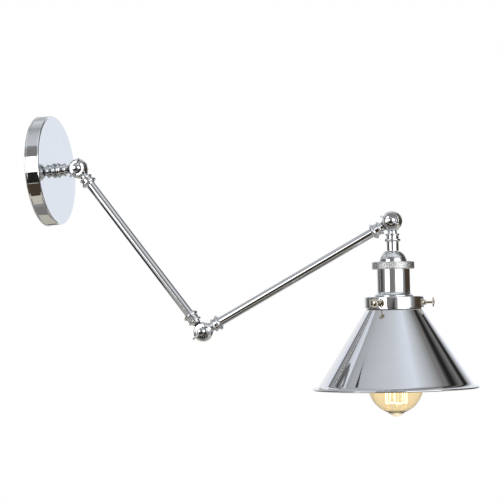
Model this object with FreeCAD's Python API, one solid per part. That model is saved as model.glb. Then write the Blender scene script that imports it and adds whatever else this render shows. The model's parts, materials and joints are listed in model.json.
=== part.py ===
import FreeCAD, Part
import math
import os

"""Swing arm wall lamp: wall canopy, three ball knuckles, two tube arms, lamp holder, cone shade, bulb.

Millimetres. The origin is the centre of the canopy's back face, on the wall. +X points out of
the wall, +Z is up, and the knuckles turn about Y. Every turned piece is drawn along its own +X
axis and then laid in its place.
"""

Vector = FreeCAD.Vector
ORIGIN = Vector(0, 0, 0)
ALONG_X = Vector(1, 0, 0)
ALONG_Y = Vector(0, 1, 0)
ALONG_Z = Vector(0, 0, 1)

# Pose of the arms: angles above the horizontal, in the XZ plane
lower_arm_angle = -55.5
upper_arm_angle = 25.6
head_angle = -92.8
lower_arm_length = 235.0
upper_arm_length = 244.0

# Fits
running_fit = 0.05
face_gap = 0.05

# Canopy
canopy_radius = 62.5
canopy_depth = 16.0
canopy_wall = 1.2
canopy_edge_round = 2.0
hem_width = 2.4
hem_step = 0.6

# Lamp tube and its nuts
tube_radius = 5.0
tube_wall = 1.0
tube_seat_depth = 8.0
nut_across_flats = 14.0
nut_thickness = 3.0
lock_washer_radius = 8.5
lock_washer_thickness = 0.8
nipple_wall = 1.5
nipple_tail = 0.9

# Wall strap inside the canopy
strap_width = 18.0
strap_thickness = 2.0
strap_nut_gap = 2.0
strap_end_gap = 12.5
strap_slope_length = 8.0
slot_end_margin = 12.0
slot_inner_margin = 4.0
slot_length = 12.0
slot_width = 5.0

# Ball knuckle
ball_radius = 11.1
ball_flat_height = 7.4
rim_gap = 0.3
neck_clearance = 0.35
neck_radius = 4.9
neck_root_radius = 8.2
neck_root_reach = 7.4
wire_bore_radius = 3.0
wire_way_inner = 4.3
wire_way_outer = 7.9
wire_way_depth = 4.5
friction_washer_thickness = 0.8

# Beads turned on the ferrules: the gap before each, its width and how far it stands up
ferrule_wall = 1.65
fixed_neck_length = 2.15
fixed_beads = [(0.0, 3.0, 1.1), (4.0, 4.0, 2.0), (0.2, 0.4, 0.15)]
moving_neck_length = 2.05
moving_beads = [(0.0, 2.6, 1.1), (2.9, 3.4, 2.1), (0.3, 0.6, 0.25)]

# Wing screw
screw_radius = 2.5
screw_clearance = 0.25
screw_chamfer = 0.5
screw_thread_length = 6.9
screw_thread_room = 0.6
wing_washer_radius = 6.2
wing_washer_thickness = 1.0
wing_hub_radius = 4.6
wing_hub_top_radius = 3.9
wing_hub_height = 4.4
wing_hub_crown = 0.9
wing_reach = 12.0
wing_foot_reach = 6.6
wing_lobe_reach = 8.6
wing_notch_reach = 5.8
wing_thickness = 1.7
wing_foot_lift = 1.0
wing_lobe_height = 7.6
wing_lobe_lean = 0.6
wing_notch_drop = 0.2
wing_web_drop = 0.6
wall_wing_angle = 62.0
elbow_wing_angle = 44.0
head_wing_angle = -30.0

# Lamp holder, from the head knuckle down
head_stem_length = 9.0
head_stem_step = 1.5
dome_height = 11.8
dome_shoulder_radius = 7.6
dome_shoulder_inset = 0.3
dome_waist_drop = 5.0
dome_waist_radius = 12.9
dome_radius = 15.0
dome_wall = 1.4
cap_nut_across_flats = 12.6
ring_height = 8.1
ring_wall = 4.8
ring_flange = 1.6
ring_hole_radius = 12.6
ring_edge_round = 1.2
shell_radius = 18.1
shell_wall = 1.0
shell_length = 30.7
flare_height = 5.3
flare_width = 3.0
holder_clearance = 0.3
insulator_drop = 1.7
insulator_block = 21.1
insulator_wall = 2.7
insulator_below = 9.8
wire_hole_radius = 2.0
wire_hole_offset = 6.0
terminal_offset = 8.0
terminal_head_radius = 2.8
terminal_head_height = 1.8
terminal_shank_radius = 1.5
terminal_length = 7.0
screw_shell_wall = 0.5
contact_radius = 4.4
contact_sheet = 0.5
contact_rise = 2.25
contact_room = 3.0

# Shade gallery, its nut and its thumb screws
gallery_radius = 32.4
gallery_wall = 1.2
gallery_depth = 12.1
gallery_edge_round = 1.6
gallery_nut_wall = 6.2
gallery_nut_height = 4.2
boss_radius = 2.9
boss_height = 2.0
thumb_screw_drop = 6.9
thumb_screw_count = 3
first_thumb_screw_turn = 9.0
thumb_shank_radius = 1.35
thumb_head_radius = 5.1
thumb_head_thickness = 1.6
thumb_head_bulge = 0.3
thumb_head_crown = 0.9
thumb_crown_radius = 3.5
thumb_head_reach = 9.0

# Cone shade
shade_sheet = 0.9
collar_top_gap = 0.7
collar_side_gap = 1.2
collar_bead = 0.5
cone_gap = 1.1
cone_height = 81.3
cone_bottom_radius = 82.9
lip_width = 7.5
lip_height = 4.2
lip_bow = 1.05

# Bulb
bulb_contact_height = 1.2
bulb_contact_radius = 4.4
bulb_collar_height = 3.5
bulb_collar_inset = 0.6
bulb_thread_room = 0.4
bulb_cap_sheet = 0.4
bulb_cap_length = 21.5
bulb_cap_floor = 1.8
bulb_neck_room = 0.2
bulb_neck_seat = 7.0
bulb_wall = 0.9
bulb_globe_radius = 30.3
bulb_globe_drop = 80.8
bulb_flank_angle = 17.0
bulb_flank_blend = 60.0
bulb_tip_reach = 34.1
tip_root_radius = 9.0
tip_radius = 3.2
tip_hollow = 0.7
cage_radius = 11.5
cage_drop = 43.0
cage_length = 57.0
cage_strands = 8
filament_radius = 0.45
support_radius = 0.3
support_gap = 0.1
glass_rod_radius = 2.2
glass_flare_drop = 3.0
glass_flare_length = 18.0
glass_flare_rim = 1.0
glass_waist_drop = 5.4
glass_waist_radius = 4.9

# Places at the wall that follow from the sizes above
canopy_inner_face = canopy_depth - canopy_wall
canopy_nut_end = canopy_inner_face - lock_washer_thickness
strap_rise = canopy_nut_end - nut_thickness - strap_nut_gap - strap_thickness
strap_length = 2 * (canopy_radius - strap_end_gap)
slot_spacing = strap_length - 2 * slot_end_margin
strap_middle_length = slot_spacing - slot_length - 2 * (slot_inner_margin + strap_slope_length)

# Places on the knuckles
neck_start = ball_radius + neck_clearance
groove_radius = tube_radius + running_fit + ferrule_wall
fixed_mouth = neck_start + fixed_neck_length + sum(gap + width for gap, width, _ in fixed_beads)
moving_mouth = neck_start + moving_neck_length + sum(gap + width for gap, width, _ in moving_beads)
wing_seat = ball_flat_height + wing_washer_thickness + face_gap

# Places on the lamp holder, as distances down from the head knuckle
head_stem_radius = tube_radius + head_stem_step
dome_top = moving_mouth + head_stem_length
ring_top = dome_top + dome_height
ring_bottom = ring_top + ring_height
ring_radius = shell_radius + ring_wall
shell_top = ring_top + ring_flange
shell_bore = shell_radius - shell_wall
shell_bottom = shell_top + shell_length
flare_bottom = shell_bottom + flare_height
flare_radius = shell_radius + flare_width
insulator_top = shell_top + insulator_drop
insulator_floor = insulator_top + insulator_block
insulator_bottom = flare_bottom + insulator_below
insulator_radius = shell_bore - holder_clearance
screw_shell_radius = insulator_radius - insulator_wall
screw_shell_bore = screw_shell_radius - screw_shell_wall
gallery_bottom = flare_bottom + gallery_depth
gallery_nut_radius = insulator_radius + gallery_nut_wall
thumb_screw_level = flare_bottom + thumb_screw_drop
collar_radius = gallery_radius - gallery_wall - collar_side_gap
collar_top = flare_bottom + gallery_wall + collar_top_gap
cone_top = gallery_bottom + cone_gap
cone_bottom = cone_top + cone_height
lip_radius = cone_bottom_radius + lip_width
lip_level = cone_bottom + lip_height

# Places on the bulb
bulb_contact_top = insulator_floor + contact_rise + face_gap
bulb_contact_end = bulb_contact_top + bulb_contact_height
bulb_collar_end = bulb_contact_end + bulb_collar_height
bulb_cap_radius = screw_shell_bore - bulb_thread_room
bulb_cap_bore = bulb_cap_radius - bulb_cap_sheet
bulb_cap_bottom = bulb_collar_end + bulb_cap_length
bulb_neck_radius = bulb_cap_bore - bulb_neck_room
bulb_neck_top = bulb_cap_bottom - bulb_neck_seat
bulb_globe_level = bulb_cap_bottom + bulb_globe_drop
bulb_tip = bulb_globe_level + bulb_tip_reach
cage_top = bulb_cap_bottom + cage_drop
cage_bottom = cage_top + cage_length
glass_flare_top = bulb_cap_bottom + glass_flare_drop


def toward(angle, distance):
    """The step of a given length at an angle above the horizontal, in the XZ plane."""
    turn = math.radians(angle)
    return Vector(distance * math.cos(turn), 0, distance * math.sin(turn))


wall_hinge = Vector(canopy_depth + face_gap + fixed_mouth, 0, 0)
elbow_hinge = wall_hinge + toward(lower_arm_angle, lower_arm_length)
head_hinge = elbow_hinge + toward(upper_arm_angle, upper_arm_length)


# Drawing helpers

def outline(start, *steps):
    """A face in the XZ plane: a step is a point for a line, or two points for an arc."""
    edges = []
    here = Vector(start[0], 0, start[1])
    for step in (*steps, start):
        if isinstance(step[0], tuple):
            through = Vector(step[0][0], 0, step[0][1])
            there = Vector(step[1][0], 0, step[1][1])
            edges.append(Part.Arc(here, through, there).toShape())
        else:
            there = Vector(step[0], 0, step[1])
            edges.append(Part.LineSegment(here, there).toShape())
        here = there
    return Part.Face(Part.Wire(edges))


def turned(start, *steps):
    """The solid that an outline of (along, radius) points sweeps about the X axis."""
    return outline(start, *steps).revolve(ORIGIN, ALONG_X, 360)


def crown(along, radius, rise):
    """The arc step of a round crown that ends on the X axis."""
    sphere = (radius**2 + rise**2) / (2 * rise)
    half_angle = math.asin(radius / sphere) / 2
    if rise > radius:
        half_angle = math.pi / 2 - half_angle
    through = (along + rise - sphere * (1 - math.cos(half_angle)), sphere * math.sin(half_angle))
    return through, (along + rise, 0)


def rod(radius, start, end):
    """A cylinder along X."""
    return Part.makeCylinder(radius, end - start, Vector(start, 0, 0), ALONG_X)


def cross_rod(radius, start, end):
    """A cylinder along Y."""
    return Part.makeCylinder(radius, end - start, Vector(0, start, 0), ALONG_Y)


def tube(outer, inner, start, end):
    """A hollow cylinder along X."""
    return rod(outer, start, end).cut(rod(inner, start, end))


def hex_nut(across_flats, bore, start, end):
    """A hexagon nut along X."""
    corner = across_flats / math.sqrt(3)
    corners = []
    for number in range(7):
        turn = math.radians(60 * number)
        corners.append(Vector(start, corner * math.cos(turn), corner * math.sin(turn)))
    blank = Part.Face(Part.makePolygon(corners)).extrude(Vector(end - start, 0, 0))
    return blank.cut(rod(bore, start, end))


def laid(shape, centre, angle):
    """A copy of a piece with its X axis turned up to an angle and its origin at a centre."""
    copy = shape.copy()
    copy.rotate(ORIGIN, -ALONG_Y, angle)
    copy.translate(centre)
    return copy


def spun(shape, angle):
    """A copy of a piece turned about its own X axis."""
    copy = shape.copy()
    copy.rotate(ORIGIN, ALONG_X, angle)
    return copy


def save(name, shape):
    """Write one node."""
    solids = shape.Solids
    shape = solids[0] if len(solids) == 1 else Part.makeCompound(solids)
    shape.exportStep("parts/" + name + ".step")
    print(name, len(solids), round(shape.Volume, 1), shape.isValid())


# Wall side

def canopy():
    """A spun metal cup with a flat face, a rounded edge and a rolled hem against the wall."""
    band = canopy_radius - hem_step
    corner = canopy_edge_round * (1 - math.sqrt(0.5))
    inner_round = canopy_edge_round - canopy_wall
    inner_corner = inner_round * (1 - math.sqrt(0.5))
    inside = band - canopy_wall
    bore = tube_radius + running_fit
    return turned(
        (0, inside),
        (0, canopy_radius - hem_step / 2),
        ((hem_width / 2, canopy_radius), (hem_width, canopy_radius - hem_step / 2)),
        (hem_width, band),
        (canopy_depth - canopy_edge_round, band),
        ((canopy_depth - corner, band - corner), (canopy_depth, band - canopy_edge_round)),
        (canopy_depth, bore),
        (canopy_inner_face, bore),
        (canopy_inner_face, inside - inner_round),
        (
            (canopy_inner_face - inner_corner, inside - inner_corner),
            (canopy_inner_face - inner_round, inside),
        ),
    )


def wall_strap():
    """A bent steel strap: two slotted feet on the wall and a raised, tapped middle."""
    half_middle = strap_middle_length / 2
    foot_start = half_middle + strap_slope_length
    half_length = strap_length / 2
    front = strap_rise + strap_thickness
    bend = strap_thickness * math.tan(math.atan2(strap_rise, strap_slope_length) / 2)
    face = outline(
        (0, half_length),
        (0, foot_start),
        (strap_rise, half_middle),
        (strap_rise, -half_middle),
        (0, -foot_start),
        (0, -half_length),
        (strap_thickness, -half_length),
        (strap_thickness, -foot_start - bend),
        (front, -half_middle - bend),
        (front, half_middle + bend),
        (strap_thickness, foot_start + bend),
        (strap_thickness, half_length),
    )
    strap = face.extrude(Vector(0, strap_width, 0))
    strap.translate(Vector(0, -strap_width / 2, 0))
    strap.rotate(ORIGIN, ALONG_X, 90)
    strap = strap.cut(rod(tube_radius + running_fit, 0, front))
    straight = slot_length - slot_width
    for side in (-1, 1):
        middle = side * slot_spacing / 2
        slot = Part.makeBox(
            strap_thickness, straight, slot_width, Vector(0, middle - straight / 2, -slot_width / 2)
        )
        for end in (-1, 1):
            corner = Vector(0, middle + end * straight / 2, 0)
            slot = slot.fuse(Part.makeCylinder(slot_width / 2, strap_thickness, corner, ALONG_X))
        strap = strap.cut(slot)
    return strap


def wall_pieces():
    """The canopy and what holds it to the wall and to the stem."""
    nipple_end = canopy_depth + tube_seat_depth
    nipple_start = strap_rise - nut_thickness - nipple_tail
    bore = tube_radius + running_fit
    save("canopy", canopy())
    save("wall_strap", wall_strap())
    save("stem_nipple", tube(tube_radius, tube_radius - nipple_wall, nipple_start, nipple_end))
    save("strap_nut", hex_nut(nut_across_flats, bore, strap_rise - nut_thickness, strap_rise))
    save("canopy_washer", tube(lock_washer_radius, bore, canopy_nut_end, canopy_inner_face))
    save("canopy_nut", hex_nut(nut_across_flats, bore, canopy_nut_end - nut_thickness, canopy_nut_end))


# Knuckles

def ferrule(neck_length, beads):
    """The turned neck and beads of a knuckle half, before it is bored for its tube and its wires."""
    here = neck_start + neck_length
    steps = [(neck_start, neck_radius), (here, neck_radius)]
    for gap, width, rise in beads:
        start = here + gap
        here = start + width
        steps.append((start, groove_radius))
        steps.append((((start + here) / 2, groove_radius + rise), (here, groove_radius)))
    steps.append((here, 0))
    return turned((neck_start, 0), *steps)


def slab(near, far):
    """A wide slab between two heights along Y."""
    reach = 2 * ball_radius
    return Part.makeBox(2 * reach, far - near, 2 * reach, Vector(-reach, near, -reach))


def knuckle_half(side, neck, mouth, screw_hole, boss_cut):
    """Half a ball with its neck along +X: side 1 is the fixed half, side -1 the half that swings."""
    ball = Part.makeSphere(ball_radius).fuse(rod(neck_radius, 0, neck_start))
    if side > 0:
        half = ball.common(slab(rim_gap / 2, ball_radius))
    else:
        root_start = Vector(neck_root_reach, 0, 0)
        root = Part.makeCone(neck_root_radius, neck_radius, neck_start - neck_root_reach, root_start, ALONG_X)
        half = ball.fuse(root).common(slab(-ball_flat_height, -rim_gap / 2))
    seat = mouth - tube_seat_depth
    body = half.fuse(neck)
    way = cross_rod(wire_way_outer, 0, wire_way_depth).cut(cross_rod(wire_way_inner, 0, wire_way_depth))
    recess = cross_rod(wire_way_inner, 0, boss_cut)
    if side < 0:
        way.rotate(ORIGIN, ALONG_X, 180)
        recess.rotate(ORIGIN, ALONG_X, 180)
    body = body.cut(way).cut(recess)
    body = body.cut(rod(wire_bore_radius, wire_way_inner, seat))
    body = body.cut(rod(tube_radius + running_fit, seat, mouth))
    return body.cut(screw_hole).removeSplitter()


def fixed_half():
    """The half that stays with the arm before it, with a blind tapped hole for the wing screw."""
    depth = screw_thread_length + screw_thread_room
    hole = cross_rod(screw_radius + running_fit, 0, depth)
    neck = ferrule(fixed_neck_length, fixed_beads)
    return knuckle_half(1, neck, fixed_mouth, hole, friction_washer_thickness / 2)


def moving_half():
    """The half that swings, with a flat seat and a clear hole for the wing screw."""
    hole = cross_rod(screw_radius + screw_clearance, -ball_radius, 0)
    cut = friction_washer_thickness / 2 + face_gap
    neck = ferrule(moving_neck_length, moving_beads)
    return knuckle_half(-1, neck, moving_mouth, hole, cut)


def wing_screw():
    """A wing screw along +X, its joint plane at 0 and its wings up and down along Z."""
    shoulder = wing_seat + wing_hub_height
    post = turned(
        (-screw_thread_length, 0),
        (-screw_thread_length, screw_radius - screw_chamfer),
        (-screw_thread_length + screw_chamfer, screw_radius),
        (wing_seat, screw_radius),
        (wing_seat, wing_hub_radius),
        (shoulder, wing_hub_top_radius),
        crown(shoulder, wing_hub_top_radius, wing_hub_crown),
    )
    foot = wing_seat + wing_foot_lift
    lobe_top = wing_seat + wing_lobe_height
    lobe_middle = (foot + lobe_top) / 2
    wing = outline(
        (foot, 0),
        (foot, wing_foot_reach),
        ((lobe_middle - wing_lobe_lean, wing_reach), (lobe_top, wing_lobe_reach)),
        ((shoulder - wing_notch_drop, wing_notch_reach), (shoulder - wing_web_drop, 0)),
    )
    plate = wing.extrude(Vector(0, wing_thickness, 0))
    plate.translate(Vector(0, -wing_thickness / 2, 0))
    return post.fuse(plate).fuse(spun(plate, 180)).removeSplitter()


def knuckle(name, centre, fixed_angle, moving_angle, wing_angle):
    """Write a knuckle's five pieces: two halves, two washers and the wing screw."""
    save(name + "_fixed_half", laid(fixed_half(), centre, fixed_angle))
    save(name + "_moving_half", laid(moving_half(), centre, moving_angle))
    half_washer = friction_washer_thickness / 2
    hole = screw_radius + screw_clearance
    friction = cross_rod(wire_way_inner - running_fit, -half_washer, half_washer)
    friction = friction.cut(cross_rod(hole, -half_washer, half_washer))
    save(name + "_friction_washer", laid(friction, centre, moving_angle))
    low = -ball_flat_height - wing_washer_thickness
    washer = cross_rod(wing_washer_radius, low, -ball_flat_height)
    washer = washer.cut(cross_rod(hole, low, -ball_flat_height))
    save(name + "_wing_washer", laid(washer, centre, moving_angle))
    screw = wing_screw()
    screw.rotate(ORIGIN, ALONG_Z, -90)
    save(name + "_wing_screw", laid(screw, centre, wing_angle - 90))


def arm_tube(length):
    """A straight tube between the seats of two knuckles."""
    start = moving_mouth - tube_seat_depth
    end = length - fixed_mouth + tube_seat_depth
    return tube(tube_radius, tube_radius - tube_wall, start, end)


# Lamp holder

def head_stem():
    """A hollow turned stem: a spigot in the knuckle, a thicker middle, a spigot in the dome."""
    start = moving_mouth - tube_seat_depth
    nut_start = dome_top + dome_wall
    end = nut_start + nut_thickness + nipple_tail
    stem = rod(tube_radius, start, end).fuse(rod(head_stem_radius, moving_mouth, dome_top))
    return stem.cut(rod(tube_radius - tube_wall, start, end))


def dome_cap():
    """A thin bell with a flat top for its nut and a short collar that enters the knurled ring."""
    bore = tube_radius + running_fit
    waist = dome_top + dome_waist_drop
    under_top = dome_top + dome_wall
    collar_bottom = ring_top + ring_flange
    collar = ring_hole_radius - running_fit
    return turned(
        (dome_top, bore),
        (dome_top, dome_shoulder_radius),
        ((waist, dome_waist_radius), (ring_top, dome_radius)),
        (ring_top, collar),
        (collar_bottom, collar),
        (collar_bottom, collar - dome_wall),
        (ring_top, collar - dome_wall),
        ((waist, dome_waist_radius - dome_wall), (under_top, dome_shoulder_radius + dome_shoulder_inset)),
        (under_top, bore),
    )


def knurled_ring():
    """The screw ring: a flange under the dome and a wall round the top of the shell."""
    corner = ring_edge_round * (1 - math.sqrt(0.5))
    bore = shell_radius + running_fit
    return turned(
        (ring_top, ring_hole_radius),
        (ring_top, ring_radius - ring_edge_round),
        ((ring_top + corner, ring_radius - corner), (ring_top + ring_edge_round, ring_radius)),
        (ring_bottom - ring_edge_round, ring_radius),
        ((ring_bottom - corner, ring_radius - corner), (ring_bottom, ring_radius - ring_edge_round)),
        (ring_bottom, bore),
        (shell_top, bore),
        (shell_top, ring_hole_radius),
    )


def socket_shell():
    """A drawn tube that flares at its lower end onto the gallery."""
    lip = flare_bottom - shell_wall
    return turned(
        (shell_top, shell_bore),
        (shell_top, shell_radius),
        (shell_bottom, shell_radius),
        (lip, flare_radius),
        (flare_bottom, flare_radius),
        (flare_bottom, shell_bore),
    )


def socket_insulator():
    """A porcelain cup with a threaded skirt, two wire holes and two terminal holes."""
    cup = rod(insulator_radius, insulator_top, insulator_bottom)
    cup = cup.cut(rod(screw_shell_radius + running_fit, insulator_floor, insulator_bottom))
    for side in (-1, 1):
        wire = rod(wire_hole_radius, insulator_top, insulator_floor)
        wire.translate(Vector(0, side * wire_hole_offset, 0))
        cup = cup.cut(wire)
        terminal = rod(terminal_shank_radius + running_fit, insulator_top, insulator_top + terminal_length)
        terminal.translate(Vector(0, 0, side * terminal_offset))
        cup = cup.cut(terminal)
    return cup


def terminal_screws():
    """Two cheese-head screws in the top of the porcelain."""
    screws = []
    for side in (-1, 1):
        head = rod(terminal_head_radius, insulator_top - terminal_head_height, insulator_top)
        screw = head.fuse(rod(terminal_shank_radius, insulator_top, insulator_top + terminal_length))
        screw.translate(Vector(0, 0, side * terminal_offset))
        screws.append(screw)
    return Part.makeCompound(screws)


def screw_shell():
    """The brass lining that takes the bulb's thread, with a holed floor."""
    floor = insulator_floor + screw_shell_wall
    bottom = insulator_bottom - screw_shell_wall
    lining = rod(screw_shell_radius, insulator_floor, bottom)
    lining = lining.cut(rod(screw_shell_bore, floor, bottom))
    return lining.cut(rod(contact_radius + contact_room, insulator_floor, floor))


def centre_contact():
    """A domed bronze spring disc on the porcelain floor."""
    bore = contact_radius - contact_sheet
    under_rise = contact_rise - contact_sheet
    level = insulator_floor
    dome = turned((level, 0), (level, contact_radius), crown(level, contact_radius, contact_rise))
    room = turned((level, 0), (level, bore), crown(level, bore, under_rise))
    return dome.cut(room)


# Gallery and shade

def gallery():
    """A shallow cup under the shell, with three riveted bushes for the thumb screws."""
    top_face = flare_bottom + gallery_wall
    corner = gallery_edge_round * (1 - math.sqrt(0.5))
    hole = insulator_radius + running_fit
    inside = gallery_radius - gallery_wall
    cup = turned(
        (flare_bottom, hole),
        (flare_bottom, gallery_radius - gallery_edge_round),
        (
            (flare_bottom + corner, gallery_radius - corner),
            (flare_bottom + gallery_edge_round, gallery_radius),
        ),
        (gallery_bottom, gallery_radius),
        (gallery_bottom, inside),
        (top_face, inside),
        (top_face, hole),
    )
    inner_room = rod(inside, flare_bottom, gallery_bottom)
    boss_top = gallery_radius + boss_height
    boss = Part.makeCylinder(boss_radius, boss_top, Vector(thumb_screw_level, 0, 0), ALONG_Z).cut(inner_room)
    screw_start = Vector(thumb_screw_level, 0, collar_radius)
    way_radius = thumb_shank_radius + running_fit
    screw_way = Part.makeCylinder(way_radius, boss_top - collar_radius, screw_start, ALONG_Z)
    for number in range(thumb_screw_count):
        turn = thumb_screw_turn(number)
        cup = cup.fuse(spun(boss, turn)).cut(spun(screw_way, turn))
    return cup.removeSplitter()


def thumb_screw_turn(number):
    """How far a thumb screw is turned about the holder's axis."""
    return -(first_thumb_screw_turn + number * 360 / thumb_screw_count)


def thumb_screw():
    """A thin screw with a flat disc head and a low crown, along +X, its tip on the shade's collar."""
    tip = collar_radius + face_gap
    head = gallery_radius + thumb_head_reach
    face = head + thumb_head_thickness
    edge = thumb_head_radius - thumb_head_bulge
    return turned(
        (tip, 0),
        (tip, thumb_shank_radius),
        (head, thumb_shank_radius),
        (head, edge),
        ((head + thumb_head_thickness / 2, thumb_head_radius), (face, edge)),
        (face, thumb_crown_radius),
        crown(face, thumb_crown_radius, thumb_head_crown),
    )


def gallery_nut():
    """The ring that clamps the gallery under the shell."""
    start = flare_bottom + gallery_wall
    return tube(gallery_nut_radius, insulator_radius + running_fit, start, start + gallery_nut_height)


def shade():
    """A spun cone with a beaded collar inside the gallery and a lip that turns outward."""
    slope = math.atan2(cone_bottom_radius - collar_radius, cone_bottom - cone_top)
    shift_along = shade_sheet * math.sin(slope)
    shift_in = shade_sheet * math.cos(slope)
    inside = collar_radius - shade_sheet
    bead = collar_radius + collar_bead
    bead_end = collar_top + 2 * shade_sheet
    knee = shade_sheet * math.tan(slope / 2)
    lip_chord = math.hypot(lip_height, lip_width)
    lip_mid = (
        cone_bottom + lip_height / 2 + lip_bow * lip_width / lip_chord,
        cone_bottom_radius + lip_width / 2 - lip_bow * lip_height / lip_chord,
    )
    under_mid = (lip_mid[0] + shift_along, lip_mid[1] - shift_in)
    return turned(
        (collar_top, inside),
        (collar_top, collar_radius),
        ((collar_top + shade_sheet, bead), (bead_end, collar_radius)),
        (cone_top, collar_radius),
        (cone_bottom, cone_bottom_radius),
        (lip_mid, (lip_level, lip_radius)),
        (lip_level + shade_sheet, lip_radius),
        (under_mid, (cone_bottom + shift_along, cone_bottom_radius - shift_in)),
        (cone_top + knee, inside),
    )


# Bulb

def globe(offset):
    """The bulb's blown form, shrunk by an offset: neck, blend, flank and round end."""
    flank = math.radians(bulb_flank_angle)
    radius = bulb_globe_radius - offset
    neck = bulb_neck_radius - offset
    touch = (bulb_globe_level - radius * math.sin(flank), radius * math.cos(flank))
    meet = touch[0] - (touch[1] - neck) / math.tan(flank)
    reach = bulb_flank_blend * math.tan(flank / 2)
    leave = (meet + reach * math.cos(flank), neck + reach * math.sin(flank))
    bow = bulb_flank_blend * (1 - math.cos(flank / 2))
    middle = (meet - reach + bulb_flank_blend * math.sin(flank / 2), neck + bow)
    equator = (bulb_globe_level, radius)
    end = bulb_globe_level + radius
    return [
        (bulb_neck_top, neck),
        (meet - reach, neck),
        (middle, leave),
        touch,
        (equator, (bulb_globe_level + radius * math.sin(flank), touch[1])),
    ], end, radius


def bulb_glass():
    """The blown glass with its drawn tip."""
    steps, _, radius = globe(0)
    root = (bulb_globe_level + math.sqrt(radius**2 - tip_root_radius**2), tip_root_radius)
    half_turn = (bulb_globe_level + radius * math.cos(math.radians(45)), radius * math.sin(math.radians(45)))
    collar = (bulb_tip - tip_radius, tip_radius)
    run = collar[0] - root[0]
    drop = root[1] - collar[1]
    chord = math.hypot(run, drop)
    hollow = (
        root[0] + run / 2 - tip_hollow * drop / chord,
        root[1] - drop / 2 - tip_hollow * run / chord,
    )
    nose = (bulb_tip - tip_radius * (1 - math.sqrt(0.5)), tip_radius * math.sqrt(0.5))
    outer = turned(
        (bulb_neck_top, 0), *steps, (half_turn, root), (hollow, collar), (nose, (bulb_tip, 0))
    )
    steps, end, radius = globe(bulb_wall)
    half_turn = (bulb_globe_level + radius * math.cos(math.radians(45)), radius * math.sin(math.radians(45)))
    inner = turned((bulb_neck_top, 0), *steps, (half_turn, (end, 0)))
    return outer.cut(inner)


def bulb_base():
    """Write the cap, its insulating collar and its contact."""
    collar_top_radius = bulb_contact_radius + bulb_collar_inset
    collar_radius_below = bulb_cap_bore - bulb_collar_inset
    collar_start = Vector(bulb_contact_end, 0, 0)
    collar = Part.makeCone(collar_top_radius, collar_radius_below, bulb_collar_height, collar_start, ALONG_X)
    cap = tube(bulb_cap_radius, bulb_cap_bore, bulb_collar_end, bulb_cap_bottom)
    floor_end = bulb_collar_end + bulb_cap_sheet
    floor = tube(bulb_cap_bore, bulb_cap_bore - bulb_cap_floor, bulb_collar_end, floor_end)
    save_head("bulb_contact", rod(bulb_contact_radius, bulb_contact_top, bulb_contact_end))
    save_head("bulb_collar", collar)
    save_head("bulb_cap", cap.fuse(floor).removeSplitter())


def glass_stem():
    """The trumpet sealed into the neck and the glass rod that carries the filament."""
    flare_radius_top = bulb_neck_radius - bulb_wall - running_fit
    flare_end = glass_flare_top + glass_flare_length
    rod_end = cage_bottom + glass_rod_radius
    flare_start = glass_flare_top - glass_flare_rim
    waist = (glass_flare_top + glass_waist_drop, glass_waist_radius)
    return turned(
        (flare_start, 0),
        (flare_start, flare_radius_top),
        (glass_flare_top, flare_radius_top),
        (waist, (flare_end, glass_rod_radius)),
        (rod_end, glass_rod_radius),
        crown(rod_end, glass_rod_radius, glass_rod_radius),
    )


def cage_point(number, level):
    """Where a strand of the filament stands, at a distance down the bulb."""
    turn = 2 * math.pi * number / cage_strands
    return Vector(level, cage_radius * math.sin(turn), cage_radius * math.cos(turn))


def wire(radius, start, end):
    """A straight round wire with rounded ends."""
    run = end - start
    solid = Part.makeCylinder(radius, run.Length, start, run)
    return solid.fuse(Part.makeSphere(radius, start)).fuse(Part.makeSphere(radius, end))


def filament():
    """One wire that runs up and down round the cage."""
    corners = []
    for number in range(cage_strands):
        levels = (cage_top, cage_bottom) if number % 2 == 0 else (cage_bottom, cage_top)
        corners.extend(cage_point(number, level) for level in levels)
    runs = [wire(filament_radius, corners[0], corners[1])]
    for start, end in zip(corners[1:-1], corners[2:]):
        runs.append(wire(filament_radius, start, end))
    return runs[0].multiFuse(runs[1:]).removeSplitter()


def filament_supports():
    """Thin wires from the glass rod to the filament's bends."""
    supports = []
    for number in range(cage_strands - 1):
        level = cage_bottom if number % 2 == 0 else cage_top
        bend = (cage_point(number, level) + cage_point(number + 1, level)) * 0.5
        axis = Vector(level, 0, 0)
        run = bend - axis
        run.normalize()
        start = axis + run * (glass_rod_radius + support_gap)
        reach = (bend - axis).Length - filament_radius - 2 * support_gap - glass_rod_radius
        supports.append(Part.makeCylinder(support_radius, reach, start, run))
    return Part.makeCompound(supports)


# Assembly

def save_head(name, shape):
    """Write one piece of the lamp holder, hung from the head knuckle."""
    save(name, laid(shape, head_hinge, head_angle))


def head_pieces():
    """The lamp holder, the gallery, the shade and the bulb."""
    nut_start = dome_top + dome_wall
    bore = tube_radius + running_fit
    save_head("head_stem", head_stem())
    save_head("dome_cap", dome_cap())
    save_head("cap_nut", hex_nut(cap_nut_across_flats, bore, nut_start, nut_start + nut_thickness))
    save_head("knurled_ring", knurled_ring())
    save_head("socket_shell", socket_shell())
    save_head("socket_insulator", socket_insulator())
    save_head("terminal_screws", terminal_screws())
    save_head("screw_shell", screw_shell())
    save_head("centre_contact", centre_contact())
    save_head("gallery", gallery())
    save_head("gallery_nut", gallery_nut())
    save_head("shade", shade())
    for number in range(thumb_screw_count):
        screw = thumb_screw()
        screw.rotate(ORIGIN, ALONG_Y, -90)
        screw.translate(Vector(thumb_screw_level, 0, 0))
        save_head("thumb_screw_%d" % (number + 1), spun(screw, thumb_screw_turn(number)))
    save_head("bulb_glass", bulb_glass())
    bulb_base()
    save_head("glass_stem", glass_stem())
    save_head("filament", filament())
    save_head("filament_supports", filament_supports())


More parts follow.
